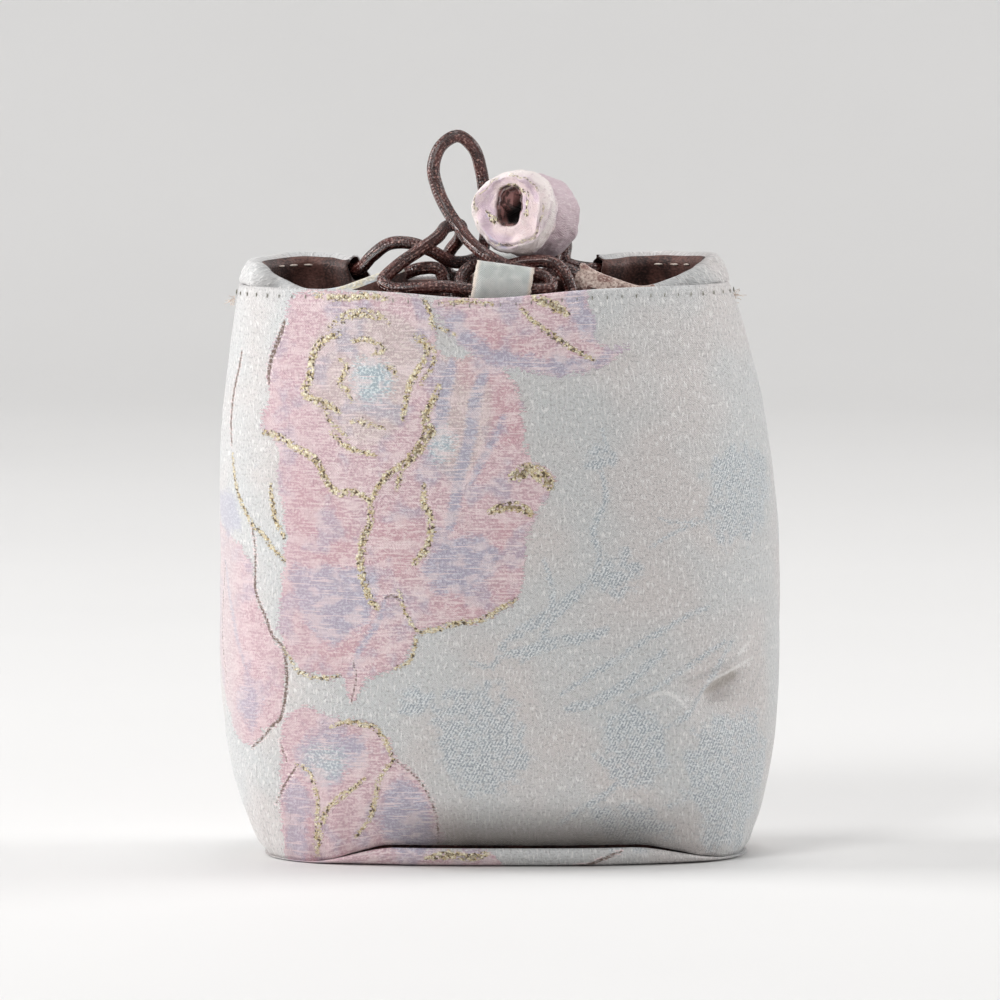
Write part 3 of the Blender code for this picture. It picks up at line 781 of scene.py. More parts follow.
brocadeTones = {
    "groundWarm": rgb(205, 199, 197),
    "groundCool": rgb(199, 200, 200),
    "slubAndRidgeHighlight": rgb(240, 238, 236),
    "shadowThread": rgb(160, 158, 158),
    "bloomDark": rgb(138, 150, 160),
    "bloomLight": rgb(230, 234, 236),
    "petal": rgb(208, 176, 183),
    "petalFloat": rgb(234, 216, 216),
    "petalShade": rgb(180, 146, 154),
    "mauve": rgb(198, 178, 178),
    "mauveFloat": rgb(226, 212, 208),
    "deep": rgb(200, 154, 161),
    "lavender": rgb(166, 165, 184),
    "lavenderFloat": rgb(206, 206, 218),
    "ice": rgb(166, 180, 188),
    "iceFloat": rgb(222, 229, 231),
    "dark": rgb(104, 82, 68),
    "core": rgb(112, 94, 66),
    "dentPaintedShade": rgb(146, 136, 126),
    "underShade": rgb(92, 84, 78),
}


def brocadeMaterial():
    made, tree, shader = newMaterial("silverBrocade", {"Sheen Weight": 0.25})
    tone = brocadeTones
    place = attribute(tree, "cloth", "Vector")
    across, upward = parted(place)[:2]
    threads = useGroup(threadsGroup, place)
    steps, floats, flecks = threads["Steps"], threads["Floats"], threads["Flecks"]
    lobes = calc("SUBTRACT", grain(place, 0.32), 0.5)
    light = ramp(floats, 0.49, 0.57)

    def mask(name, jag, soft, lobed=0.0):
        # where a field of the pattern is, with stepped and lobed edges
        return ramp(mad(lobes, lobed, mad(steps, jag, attribute(tree, name))), -soft, soft)

    def floated(name, share, over):
        return blend(mul(light, share), tone[name], tone[over])

    # ground: silver white with slubs, warmer and cooler in patches
    ground = layered(
        blend(ramp(grain(place, 0.055), 0.38, 0.62), tone["groundCool"], tone["groundWarm"]),
        (ramp(flecks, 0.47, 0.36, 0.0, 0.6), tone["shadowThread"]),
        (threads["Slubs"], tone["slubAndRidgeHighlight"]),
    )
    # tone on tone twill flowers, then the dent's patch of painted shade, with painted shade in its furrows
    # and painted highlights on its ridges
    bloom = calc("MAXIMUM", mask("bloom", 2.6, 1.1, 9.0), mask("bloomStem", 1.6, 0.3))
    bloom = mul(bloom, ramp(grain(place, 0.7), 0.34, 0.52, 0.4, 1.0))
    twill = blend(ramp(threads["Twill"], 0.2, 0.8), tone["bloomDark"], tone["bloomLight"])
    ground = layered(
        ground,
        (mul(bloom, 0.7), twill),
        (mul(mask("dentShade", 0.8, 0.7), 0.62), tone["dentPaintedShade"]),
        (mul(mask("furrowShade", 0.7, 0.35), 0.5), tone["shadowThread"]),
        (mul(mask("ridgeHighlight", 0.7, 0.3), 0.7), tone["slubAndRidgeHighlight"]),
    )
    # petals with their weft floats; lavender lies in its own fields and clouds the rest
    lavender = floated("lavender", 0.7, "lavenderFloat")
    violet = calc("MAXIMUM", mask("lavender", 2.6, 0.9, 4.0), mask("shade", 1.6, 0.5))
    cloud = ramp(grain(place, 0.16, 3.0), 0.5, 0.64, 0.0, 0.55)
    ice = blend(ramp(flecks, 0.46, 0.6), tone["ice"], tone["iceFloat"])
    petal = layered(
        floated("petal", 0.8, "petalFloat"),
        (mul(ramp(floats, 0.49, 0.41), 0.5), tone["petalShade"]),
        (mask("mauve", 1.6, 0.8), floated("mauve", 1.0, "mauveFloat")),
        (mul(mask("deep", 2.4, 1.6, 3.0), 0.55), floated("deep", 0.6, "petalFloat")),
        (calc("MAXIMUM", mul(violet, 0.82), cloud), lavender),
        (mask("ice", 5.0, 1.1), ice),
        (ramp(streaks(place, 0.3, 0.45, detail=3.0), 0.5, 0.64, 0.0, 0.55), tone["petalFloat"]),
        (ramp(streaks(place, 0.2, 3.4), 0.57, 0.64, 0.0, 0.75), tone["petalFloat"]),
        (ramp(across, -18.0, -34.0, 0.0, 0.3), tone["petalShade"]),
    )
    # the band at the left seam is paler, and some lavender lies loose on the ground
    petals = mul(mask("petal", 2.8, 0.2, 3.0), ramp(across, -48.0, -41.0, 0.55, 1.0))
    loose = mul(mul(violet, calc("SUBTRACT", 1.0, petals)), 0.6)
    # thin brown outline with a cream edge, then gold thread
    cream = mul(ramp(mad(steps, 0.9, attribute(tree, "dark")), -0.4, -0.2), light)
    outline = mul(mask("dark", 0.5, 0.12), ramp(flecks, 0.34, 0.52, 0.25, 1.0))
    gold = useGroup(goldGroup, place)
    golden = mul(mask("gold", 1.3, 0.16), ramp(grain(place, 1.5, 1.0), 0.34, 0.44))
    core = ramp(mad(steps, 1.2, attribute(tree, "gold")), 0.34, 0.46, 0.0, 0.7)
    core = mul(core, ramp(grain(place, 0.12, 1.0), 0.46, 0.56))
    # painted shade in the fold above the base's seam
    under = mul(ramp(across, -24.0, -6.0), ramp(across, 38.0, 14.0))
    under = mul(mul(under, ramp(upward, 12.0, 3.2, 0.0, 0.92)), ramp(upward, 3.0, 3.25))
    colour = layered(
        ground,
        (petals, petal),
        (loose, lavender),
        (cream, tone["petalFloat"]),
        (outline, tone["dark"]),
        (golden, blend(core, gold["Color"], tone["core"])),
        (under, tone["underShade"]),
    )
    tree.links.new(mad(golden, -0.18, mad(petals, 0.1, 0.46)), shader["Roughness"])
    height = mul(threads["Weave"], 0.35)
    for part, size in (
        (threads["Slubs"], 0.6), (mul(bloom, threads["Twill"]), 0.5), (mul(petals, floats), 1.0),
        (mul(golden, gold["Height"]), 1.6), (flecks, 0.8),
    ):
        height = mad(part, size, height)
    surface(shader, colour, height, 0.16)
    return made


brocade = brocadeMaterial()


def liningMaterial():
    made, tree, shader = newMaterial("brownLining", {"Roughness": 0.6, "Sheen Weight": 0.15})
    place = inMillimetres(tree)
    weave = streaks(place, 2.2, 2.2, 3.4)
    # brown lining cloth, in tones dark enough to paint in the shade inside the pouch; the soft upright
    # streaks are painted shade of folds
    colour = layered(
        blend(ramp(streaks(place, 0.4, 0.4, 0.07), 0.4, 0.62), rgb(50, 28, 24), rgb(98, 62, 54)),
        (ramp(weave, 0.5, 0.64, 0.0, 0.5), rgb(126, 88, 78)),
        (ramp(weave, 0.46, 0.34, 0.0, 0.5), rgb(34, 18, 16)),
    )
    surface(shader, colour, weave, 0.14)
    return made


lining = liningMaterial()
print("cloth materials made")


# The two walls: outer face, rounded rim and inner face in one closed section, swept from seam to seam
walls = {
    "columns": {"front": 291, "back": 221},
    "rows": {"front": 205, "back": 165},
    "seamRows": 8,
    "seamBand": 3.0,
    "rimRows": 7,
    "innerRows": 12,
    "pinch": 0.5,
    "pinchReach": 1.6,
    "pucker": 0.14,
    "puckerPitch": 5.2,
    "puckerReach": 4.5,
    "wave": 0.34,
    "waveScale": 0.05,
    "small": 0.1,
    "smallScale": 0.2,
    "stitchPitch": 2.35,
    "stitchBelow": 1.2,
    "stitchDip": 0.16,
    "stitchReach": 0.55,
    "stitchHold": 0.35,
    "innerCurl": 0.3,
}


def seamTuck(z):
    seam = shell["baseEdge"] + shell["seamGap"]
    near = shell["seamTuck"] * bell(z - seam, shell["seamTuck"])
    return near + shell["footCurl"] * bell(z - seam, shell["footReach"])


def wallSection(rows):
    seam = shell["baseEdge"] + shell["seamGap"]
    half = shell["cloth"] / 2
    top = shell["rimHeight"] - half
    fineTo = seam + walls["seamBand"]
    low = np.linspace(seam, fineTo, walls["seamRows"], endpoint=False)
    outer = np.concatenate([low, np.linspace(fineTo, top, rows)])
    turn = np.linspace(0.0, math.pi, walls["rimRows"] + 2)[1:-1]
    inner = np.linspace(top, seam, walls["innerRows"])
    heights = np.concatenate([outer, top + half * np.sin(turn), inner])
    rolled = half * (1.0 - np.cos(turn))
    insets = np.concatenate([seamTuck(outer), rolled, shell["cloth"] + seamTuck(inner)])
    shown = np.concatenate([np.ones(len(outer)), np.linspace(1.0, 0.0, len(turn)), np.zeros(len(inner))])
    return heights, insets, shown


def wallPiece(name, side, start, end, repeats):
    heights, insets, shown = wallSection(walls["rows"][side])
    columns = walls["columns"][side]
    angles, lengths = levels(start, end, columns, zip(heights, insets))
    z = np.broadcast_to(heights, angles.shape)
    plain = shellPoints(angles, z, insets, spread=0.0)
    pinch = walls["pinch"] * bell(plain[..., 1], walls["pinchReach"])
    along = (np.arange(columns)[:, None] / (columns - 1) - 0.5) * lengths
    wave = walls["wave"] * ripple(plain, walls["waveScale"], 3.0)
    wave += walls["small"] * ripple(plain, walls["smallScale"], 8.0)
    crease = foldDepth(plain[..., 1] < 0, plain[..., 0], z, shell["creases"])
    overSeam = np.exp(-(z - heights[0]) / walls["puckerReach"])
    pucker = walls["pucker"] * overSeam * np.sin(2 * math.pi * along / walls["puckerPitch"] + 9 * wave)
    rimLine = shell["rimHeight"] - walls["stitchBelow"]
    # the cloth is pulled in along the stitches, and most at each of them
    pull = (0.5 + 0.5 * np.cos(2 * math.pi * along / walls["stitchPitch"])) ** 2
    held = mixed(walls["stitchHold"], 1.0, pull)
    dip = walls["stitchDip"] * bell(z - rimLine, walls["stitchReach"]) * held
    middle = 1.0 - np.clip(seamDip(plain[..., 0]) / shell["dipFull"], 0.0, 1.0)
    under = shell["underCurl"] * middle * bell(z - heights[0], shell["underReach"])
    extra = shown * (wave + crease + pucker + dip) + under * mixed(walls["innerCurl"], 1.0, shown)
    points = shellPoints(angles, z, insets + pinch, extra=extra)
    points[..., 2] -= seamDip(points[..., 0]) * np.exp(-(z - heights[0]) / shell["dipReach"])
    outward = 1.0 if math.sin((start + end) / 2) > 0 else -1.0
    points[..., 1] = outward * np.maximum(outward * points[..., 1], shell["seamGap"] / 2)
    piece = makePiece(name, points, tubeFaces(columns, len(heights)), brocade)
    weavePattern(piece, along, z, repeats)
    return piece


frontWall = wallPiece("frontWallCloth", "front", math.pi, 2 * math.pi, ((0.0, 0.0),))
backWall = wallPiece("backWallCloth", "back", 0.0, math.pi, ((34.0, -9.0), (-62.0, 14.0)))
print("walls made")


# Base panel and lining, turned round the same outline
def roundPiece(name, profile, columns, material, wrinkle, spread=0.0, dipped=False):
    heights, insets = np.array(profile, dtype=float).T
    angles, lengths = levels(0.0, 2 * math.pi, columns + 1, profile)
    angles = angles[:-1]
    z = np.broadcast_to(heights, angles.shape)
    extra = wrinkle(shellPoints(angles, z, insets, spread=0.0))
    points = shellPoints(angles, z, insets, spread=spread, extra=extra)
    if dipped:
        points[..., 2] *= 1.0 - seamDip(points[..., 0]) / (shell["baseEdge"] + shell["seamGap"])
    ring = len(profile)
    faces = gridFaces(columns, ring, True, False)
    faces.append([i * ring for i in range(columns)])
    faces.append([i * ring + ring - 1 for i in range(columns - 1, -1, -1)])
    piece = makePiece(name, points, faces, material)
    along = (np.arange(columns)[:, None] / columns - 0.75) * lengths
    return piece, along, z


base = {
    "columns": 320,
    # height and how far in, round the panel's turned-up edge
    "edge": (
        (0.0, 2.6), (0.06, 1.75), (0.3, 0.95), (0.7, 0.36), (1.15, 0.08), (1.6, 0.0), (2.05, 0.06),
        (2.45, 0.26), (2.78, 0.56), (2.95, 0.9), (2.9, 1.3), (2.5, 1.62), (1.7, 2.1), (1.15, 3.0),
    ),
    "wave": 0.12,
    "waveScale": 0.12,
}


def baseWave(points):
    return base["wave"] * ripple(points, base["waveScale"], 5.0)


basePanel, along, up = roundPiece(
    "basePanelCloth", base["edge"], base["columns"], brocade, baseWave, dipped=True
)
weavePattern(basePanel, along, up)

liningShape = {
    "columns": 260,
    "rows": 60,
    "cloth": 0.5,
    "gap": 0.7,
    "belowRim": 0.5,
    "spread": 1.5,
    "fold": 0.85,
    "foldScale": 0.16,
    "foldShape": np.array([1.0, 1.0, 0.35]),
    "small": 0.3,
    "smallScale": 0.4,
}


def liningProfile():
    # the outer face upwards, over the rim, and the inner face down again
    cloth, corner = liningShape["cloth"], shell["cornerTuck"]
    top = shell["rimHeight"] - liningShape["belowRim"]
    floor = shell["cloth"] + shell["seamGap"]
    inset = shell["cloth"] + liningShape["gap"]
    foot = (floor + 0.9 * corner, inset + 0.25 * corner)
    rise = np.linspace(floor + 2.4 * corner, top - cloth / 2, liningShape["rows"])
    low = [(floor, inset + corner), (floor + 0.2 * corner, inset + 0.4 * corner), foot]
    over = [(z, inset) for z in rise] + [(top, inset + cloth / 2)] + [(z, inset + cloth) for z in rise[::-1]]
    under = [(foot[0] + cloth, foot[1] + cloth), (floor + cloth, inset + corner + cloth)]
    return low + over + under


def liningWrinkle(points):
    # long soft folds with small ones on them, only inwards
    fold = np.abs(ripple(points * liningShape["foldShape"], liningShape["foldScale"], 2.0)) * 2.0
    small = np.abs(ripple(points, liningShape["smallScale"], 4.0))
    return liningShape["fold"] * (fold + liningShape["small"] * small)


liningBag = roundPiece(
    "liningCloth", liningProfile(), liningShape["columns"], lining, liningWrinkle,
    spread=liningShape["spread"],
)[0]
print("base and lining made")


# The drawcord's way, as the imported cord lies
mouth = {
    "shift": shell["shifts"][2],
    "halfWidth": shell["halfWidths"][2],
    "halfDepth": shell["halfDepths"][2],
    "rim": shell["rimHeight"],
}
beadPlace = {
    "face": Vector((3.8, -9.0, 12.2)),  # from the mouth's middle
    "axis": Vector((0.40, 0.905, -0.14)).normalized(),
    "length": 14.0,
    "bore": 3.6,
}
cord = {
    "diameter": 2.0,
    "gap": 0.3,
    "step": 0.42,
    "sides": 16,
    "loopHalf": 4.6,
    "loopSetback": 4.7,
    "loopLift": 0.4,
    "wander": 0.03,
    "braidPitch": 1.05,
    "braidStrands": 6,
    # left or right corner, in from it, share of the half depth, above the rim
    "rightCasing": (
        (21.0, -0.30, 2.3), (16.6, -0.52, 2.5), (11.6, -0.62, 2.6), (6.4, -0.46, 2.7), (2.4, -0.02, 2.9),
        (5.1, 0.24, 2.0), (9.2, 0.34, 0.3), (14.0, 0.45, -0.8), (19.0, 0.44, 0.5), (23.6, 0.33, 2.0),
    ),
    "leftCasing": (
        (25.9, 0.28, 2.2), (21.6, 0.40, 0.9), (16.6, 0.49, -0.8), (11.4, 0.44, -1.3), (6.8, 0.28, 0.2),
        (3.5, 0.20, 2.1), (2.3, -0.04, 2.5), (5.3, -0.42, 2.5), (10.6, -0.62, 2.5), (15.4, -0.52, 2.4),
        (18.8, -0.30, 2.3),
    ),
    # the free stretches: across, back and up from the middle of the mouth at the rim
    "fromBead": ((12.6, 7.0, 6.2), (12.6, 5.6, 3.4)),
    "middle": (
        (12.2, -5.4, 3.0), (10.2, -7.2, 2.4), (9.7, -8.7, -0.8), (10.1, -9.2, -4.4), (12.4, -10.2, -5.6),
        (13.6, -10.8, -2.6), (12.8, -10.6, 1.7), (10.6, -10.0, 4.2), (6.6, -8.8, 4.3), (2.2, -8.0, 3.4),
        (-1.4, -7.8, 3.7), (-3.4, -9.2, 2.2), (-3.7, -10.3, -0.8), (-4.3, -9.0, -3.6), (-5.6, -6.9, -3.6),
        (-6.0, -5.7, -0.2), (-7.0, -5.7, 2.9), (-9.8, -5.6, 3.1),
    ),
    "tall": (
        (-17.4, 3.4, 4.5), (-14.8, 2.2, 6.4), (-11.6, 1.4, 6.6), (-8.4, 1.0, 5.5), (-4.6, 2.0, 3.6),
        (-0.9, 3.9, 4.4), (0.3, 4.4, 8.6), (0.1, 3.6, 13.0), (-0.5, 2.8, 17.6), (-1.7, 1.8, 21.3),
        (-4.1, 1.0, 23.2), (-6.7, 0.4, 21.7), (-7.9, 0.0, 18.4), (-7.2, -0.8, 15.0), (-5.6, -2.2, 11.7),
        (-3.8, -4.2, 9.2), (-2.2, -7.2, 7.3), (0.4, -10.4, 5.4), (3.9, -11.1, 3.7), (7.4, -11.0, 2.8),
        (9.9, -11.5, 1.9), (10.2, -13.0, 0.6), (8.8, -13.5, 0.4),
    ),
    "front": (
        (-6.0, -13.4, 0.8), (-10.4, -13.0, 0.6), (-13.8, -12.2, 0.4), (-15.6, -10.6, 1.4),
        (-13.4, -9.0, 3.7), (-10.0, -7.2, 6.0), (-7.2, -4.4, 7.9), (-5.8, -0.9, 9.3), (-3.8, 1.2, 9.4),
        (-3.8, 3.8, 7.4), (-5.4, 6.6, 5.0), (-6.2, 10.2, 2.4), (-5.0, 13.0, 0.7),
    ),
    "toBead": ((10.2, 13.0, 1.6), (11.6, 11.6, 5.0), (9.6, 9.6, 7.6)),
}


def cornerPoint(side, inward, forward, lift):
    x = mouth["shift"] + side * (mouth["halfWidth"] - inward)
    return Vector((x, -forward * mouth["halfDepth"], mouth["rim"] + lift))


def mouthPoint(x, y, lift):
    return Vector((mouth["shift"] + x, y, mouth["rim"] + lift))


def beadPoint(along, across, up=0.0):
    axis = beadPlace["axis"]
    right = axis.cross(Vector((0, 0, 1))).normalized()
    face = beadPlace["face"] + Vector((mouth["shift"], 0.0, mouth["rim"]))
    return face + axis * along + right * across + right.cross(axis) * up


def throughLoop(side):
    y = side * (mouth["halfDepth"] - cord["loopSetback"])
    height = mouth["rim"] + cord["loopLift"]
    return [Vector((side * place * cord["loopHalf"], y, height)) for place in (-1, 0, 1)]


def cordRoute():
    # the points from bead to bead, and the numbers of those at the casings' ends
    apart = (cord["diameter"] + cord["gap"]) / 2
    inside = beadPlace["length"] - beadPlace["bore"] + 2 * cord["gap"]
    clear = beadPlace["length"] + cord["diameter"]
    ends = (inside, beadPlace["length"], clear)
    route = [beadPoint(along, apart) for along in ends]
    route += [mouthPoint(*p) for p in cord["fromBead"]]
    marks = [len(route)]
    route += [cornerPoint(1, *p) for p in cord["rightCasing"]]
    marks.append(len(route) - 1)
    route += [mouthPoint(*p) for p in cord["middle"]]
    marks.append(len(route))
    route += [cornerPoint(-1, *p) for p in cord["leftCasing"]]
    marks.append(len(route) - 1)
    route += [mouthPoint(*p) for p in cord["tall"]]
    route += throughLoop(-1)
    route += [mouthPoint(*p) for p in cord["front"]]
    route += throughLoop(1)
    route += [mouthPoint(*p) for p in cord["toBead"]]
    route += [beadPoint(along, -apart) for along in reversed(ends)]
    return route, marks


def smoothTrack(points, fine=12):
    # centripetal curve through the route's points
    padded = [points[0] * 2 - points[1]] + points + [points[-1] * 2 - points[-2]]
    track = []
    for i in range(1, len(points)):
        a, b, c, d = padded[i - 1 : i + 3]
        k1 = math.sqrt((b - a).length)
        k2 = k1 + math.sqrt((c - b).length)
        k3 = k2 + math.sqrt((d - c).length)
        for step in range(fine):
            k = k1 + (k2 - k1) * step / fine
            ab = a.lerp(b, k / k1)
            bc = b.lerp(c, (k - k1) / (k2 - k1))
            cd = c.lerp(d, (k - k2) / (k3 - k2))
            abc = ab.lerp(bc, k / k2)
            bcd = bc.lerp(cd, (k - k1) / (k3 - k1))
            track.append(abc.lerp(bcd, (k - k1) / (k2 - k1)))
    track.append(points[-1].copy())
    return np.array(track)


def resampled(track, step):
    run = runAlong(track)
    goal = np.linspace(0.0, run[-1], max(2, round(run[-1] / step) + 1))
    return np.column_stack([np.interp(goal, run, track[:, i]) for i in range(3)]), goal


def unit(v):
    return v / np.maximum(np.linalg.norm(v, axis=-1, keepdims=True), 1e-9)


def carriedFrames(track):
    # a side and a rise at each point that turn as little as possible along the track
    ahead = unit(np.gradient(track, axis=0))
    side = [unit(np.cross(ahead[0], [0.0, 0.0, 1.0]))]
    for way in ahead[1:]:
        last = side[-1]
        side.append(unit(last - way * np.dot(last, way)))
    side = np.array(side)
    return ahead, side, np.cross(side, ahead)


def cordMaterial():
    made, tree, shader = newMaterial(
        "waxedCord", {"Coat Weight": 0.3, "Coat Roughness": 0.16, "Specular IOR Level": 0.6}
    )
    place = attribute(tree, "strand", "Vector")
    along, around = parted(place)[:2]
    turns = 2.0 * math.pi / cord["braidPitch"]
    one, two = (calc("SINE", mul(calc(way, along, around), turns)) for way in ("ADD", "SUBTRACT"))
    braid = mad(mul(one, two), 0.5, 0.5)
    fine = streaks(place, 2.0, 3.2, detail=3.0)
    # the pale pink specks on the fine grain are painted highlights
    colour = layered(
        blend(ramp(grain(place, 0.3, 3.0), 0.35, 0.65), rgb(46, 20, 18), rgb(90, 45, 39)),
        (mul(ramp(braid, 0.55, 1.0), 0.3), rgb(104, 60, 53)),
        (ramp(fine, 0.56, 0.63, 0.0, 0.65), rgb(196, 150, 138)),
        (ramp(fine, 0.42, 0.3, 0.0, 0.6), rgb(26, 14, 12)),
    )
    tree.links.new(ramp(fine, 0.3, 0.7, 0.2, 0.4), shader["Roughness"])
    surface(shader, colour, mad(fine, 0.9, braid), 0.14)
    return made


def drawcordPiece(track, run):
    ahead, side, rise = carriedFrames(track)
    turn = around(cord["sides"])
    radius = cord["diameter"] / 2 * (1.0 + cord["wander"] * ripple(track, 0.7, 6.0))
    out = side[:, None] * np.cos(turn)[None, :, None] + rise[:, None] * np.sin(turn)[None, :, None]
    points = track[:, None] + out * radius[:, None, None]
    n, m = len(track), cord["sides"]
    piece = makePiece("drawcordWaxed", points, tubeFaces(n, m), cordMaterial())
    # a whole number of pitches round, so that the braid closes on itself
    across = np.tile(turn / (2 * math.pi) * cord["braidPitch"] * cord["braidStrands"], n)
    paint(piece, "strand", np.column_stack([np.repeat(run, m), across, np.zeros(n * m)]))
    return piece


route, marks = cordRoute()
fineTrack = smoothTrack(route)
track, run = resampled(fineTrack, cord["step"])
drawcord = drawcordPiece(track, run)


# Casings: two leaves of cloth flat on each other round the cord, brocade outside and lining inside
casingShape = {
    "halfWidth": 1.95,
    "halfHeight": 2.2,
    "stripWidth": 1.42,
    "stripHeight": 1.42,
    "footBelow": 0.42,
    "cloth": 0.3,
    "step": 0.5,
    "sides": 60,
    "press": 0.62,
    "outward": 0.5,
    "lean": 0.4,
    "box": 0.4,
    "inwardShift": 0.45,
    "cornerDrop": 0.32,
    "cornerReach": 5.0,
    "stripShadowLow": 0.35,
    "shadowNotch": (2.6, 6.0),
    "shadowNotchLow": -0.1,
    "ragged": 0.55,
    "crumple": 0.16,
    "foldShown": 0.66,
    "biasFrom": 12.0,
    "skirt": 3.6,
    "skirtTurn": -0.62,
    "skirtReach": 0.34,
    "crownPower": 1.6,
    "crownBulge": 0.8,
    # in from the corner, where the front strip narrows and falls
    "narrows": (5.0, 10.0),
    "falls": (2.4, 5.0),
    "sway": 0.05,
    "bunchReach": 2.2,
    "bunchWidth": 0.5,
    "bunchHeight": 0.7,
}


def between(track, first, last):
    start = int(np.argmin(np.linalg.norm(track - np.array(first), axis=1)))
    end = int(np.argmin(np.linalg.norm(track - np.array(last), axis=1)))
    return track[start : end + 1]


def hollowStrap(name, centres, across, up, widths, heights, shape, materials, skirt=None):
    # an open-ended cloth tube: outer face out, inner face back; across points to the inner leaf
    n, m = len(centres), casingShape["sides"]
    turn = around(m)
    c = np.cos(turn)[None, :, None]
    s = np.sin(turn)[None, :, None]
    widths, heights = widths[:, None, None], heights[:, None, None]
    ahead = np.cross(across, up)
    crown = np.clip(s, 0.0, 1.0) ** casingShape["crownPower"]
    powers = np.where(s > 0, casingShape["crownBulge"], shape["box"])
    edge = np.zeros((n, 1))
    edge[:2] = -1.0
    edge[-2:] = 1.0
    layers = []
    for cloth in (0.0, casingShape["cloth"]):
        wide = (widths - cloth) * np.sign(c) * np.abs(c) ** shape["box"] * (1.0 - shape["press"] * crown)
        tall = (heights - cloth) * np.sign(s) * np.abs(s) ** powers
        wide = wide + tall * shape["lean"] - widths * shape["outward"] * crown
        if skirt is not None and cloth == 0.0:
            away = (turn + math.pi) % (2 * math.pi) - math.pi - casingShape["skirtTurn"]
            hang = bell(away, casingShape["skirtReach"])
            foot = np.clip(-s, 0.0, 1.0) * (c < 0) * casingShape["footBelow"]
            tall = tall - skirt[:, None, None] * hang[None, :, None] - foot
        points = centres[:, None] + across[:, None] * wide + up[:, None] * tall
        if not layers:
            # one bend for both layers, so that they can't cross
            bend = shape["crumple"] * (ripple(points, 0.45, 11.0) + 0.35 * ripple(points, 1.3, 3.0))
        ragged = edge * shape["ragged"] * ripple(points, 1.3, 5.0)
        layers.append(points + across[:, None] * bend[..., None] + ahead[:, None] * ragged[..., None])
    points = np.concatenate([layers[0], layers[1][::-1]])
    faces = gridFaces(2 * n, m, True, True)
    piece = makePiece(name, points, faces, materials[0])
    for material in materials[1:]:
        piece.data.materials.append(material)
    return piece, points, turn, faces


def casingPiece(name, first, last, cloth, stripCloth, bunch, drop):
    centres, run = resampled(between(fineTrack, first, last), casingShape["step"])
    ahead = np.gradient(centres, axis=0)
    across = unit(np.column_stack([ahead[:, 1], -ahead[:, 0], np.zeros(len(ahead))]))
    up = unit(np.cross(across, ahead))
    up *= np.where(up[:, 2:] < 0, -1.0, 1.0)
    # towards the front middle the casing is only a narrow strip
    fromCorner = np.abs(centres[:, 0] - mouth["shift"])
    front = np.clip(-centres[:, 1] / 2.0, 0.0, 1.0)
    inward = mouth["halfWidth"] - fromCorner
    strip = front * climb(inward, *casingShape["narrows"])
    falling = front * climb(inward, *casingShape["falls"])
    sway = 1.0 + casingShape["sway"] * ripple(centres, 0.25, 4.0)
    fromEnd = run[-1] - run
    bunched = bunch * np.exp(-fromEnd / casingShape["bunchReach"])
    widths, heights = (
        mixed(casingShape[whole], casingShape[narrow], part) * sway
        for whole, narrow, part in (
            ("halfWidth", "stripWidth", strip), ("halfHeight", "stripHeight", falling),
        )
    )
    heights = heights * (1.0 - drop * bell(inward, casingShape["cornerReach"]))
    heights = heights + casingShape["bunchHeight"] * bunched
    widths = widths + casingShape["bunchWidth"] * bunched
    skirt = casingShape["skirt"] * np.clip(-across[:, 1] * 2.0 + 0.9, 0.0, 1.0) * (1.0 - strip)
    shifted = centres + across * (casingShape["inwardShift"] * (1.0 - strip))[:, None]
    piece, points, turn, faces = hollowStrap(
        name, shifted, across, up, widths, heights, casingShape, (brocade, lining, stripCloth), skirt
    )
    n, m = len(centres), casingShape["sides"]
    inner = (np.cos(turn) > 0.0) & (np.sin(turn) < casingShape["foldShown"])
    kinds = np.tile(np.where(inner, 1, 0), (2 * n, 1))
    onStrip = (front > 0.5) & (inward > casingShape["biasFrom"])
    kinds[:n][onStrip] = 2
    # the lower part of the left strip, and a notch under the right one's end, take the dark lining cloth as
    # painted shadow
    low = casingShape["stripShadowLow"]
    if bunch > 0.0:
        start, end = casingShape["shadowNotch"]
        onStrip = onStrip & (fromEnd > start) & (fromEnd < end)
        low = casingShape["shadowNotchLow"]
    kinds[:n][np.ix_(onStrip, np.sin(turn) < low)] = 1
    kinds[n:] = 1
    kinds = kinds.ravel()
    piece.data.polygons.foreach_set("material_index", [int(kinds[face[0]]) for face in faces])
    along = np.concatenate([run, run[::-1]])[:, None] * np.ones(m)
    tall = points[..., 2] - shell["rimHeight"]
    x, slopeX, z, slopeZ, backwards = cloth
    way = run[-1] - along if backwards else along
    weavePattern(piece, x + slopeX * way, z + tall + slopeZ * way)
    return piece, centres, across, up


def stripMaterial(name, low, high, light, dark):
    # the strips in front, each with its own tones
    made, tree, shader = newMaterial(name, {"Roughness": 0.5, "Sheen Weight": 0.2})
    place = inMillimetres(tree)
    tone = streaks(place, 0.22, 0.22, 0.6)
    fine = grain(place, 2.4)
    colour = layered(
        blend(ramp(tone, 0.38, 0.62), rgb(*low), rgb(*high)),
        (ramp(fine, 0.52, 0.62, 0.0, 0.8), rgb(*light)),
        (ramp(fine, 0.46, 0.36, 0.0, 0.6), rgb(*dark)),
    )
    surface(shader, colour, mad(fine, 0.7, tone), 0.3)
    return made


paleStrip = stripMaterial("paleStrip", (226, 214, 182), (206, 216, 226), (244, 243, 240), (186, 190, 196))
# the right strip's browns are painted shade: the brocade there lies in shadow
shadedBiasStrip = stripMaterial("shadedBiasStrip", (150, 112, 102), (206, 182, 170), (232, 214, 202), (106, 74, 66))
# where on the brocade each casing is cut: across and its slope, up and its slope, counted from its end or not
leftCasing, leftCentres, leftAcross, leftUp = casingPiece(
    "leftCasingCloth", route[marks[2]], route[marks[3]], (9.0, -0.75, 77.0, 0.8, False),
    paleStrip, 0.0, casingShape["cornerDrop"],
)
rightCasing, rightCentres, rightAcross, rightUp = casingPiece(
    "rightCasingCloth", route[marks[0]], route[marks[1]], (16.0, 0.8, 74.0, 0.85, True),
    shadedBiasStrip, 1.0, 0.0,
)

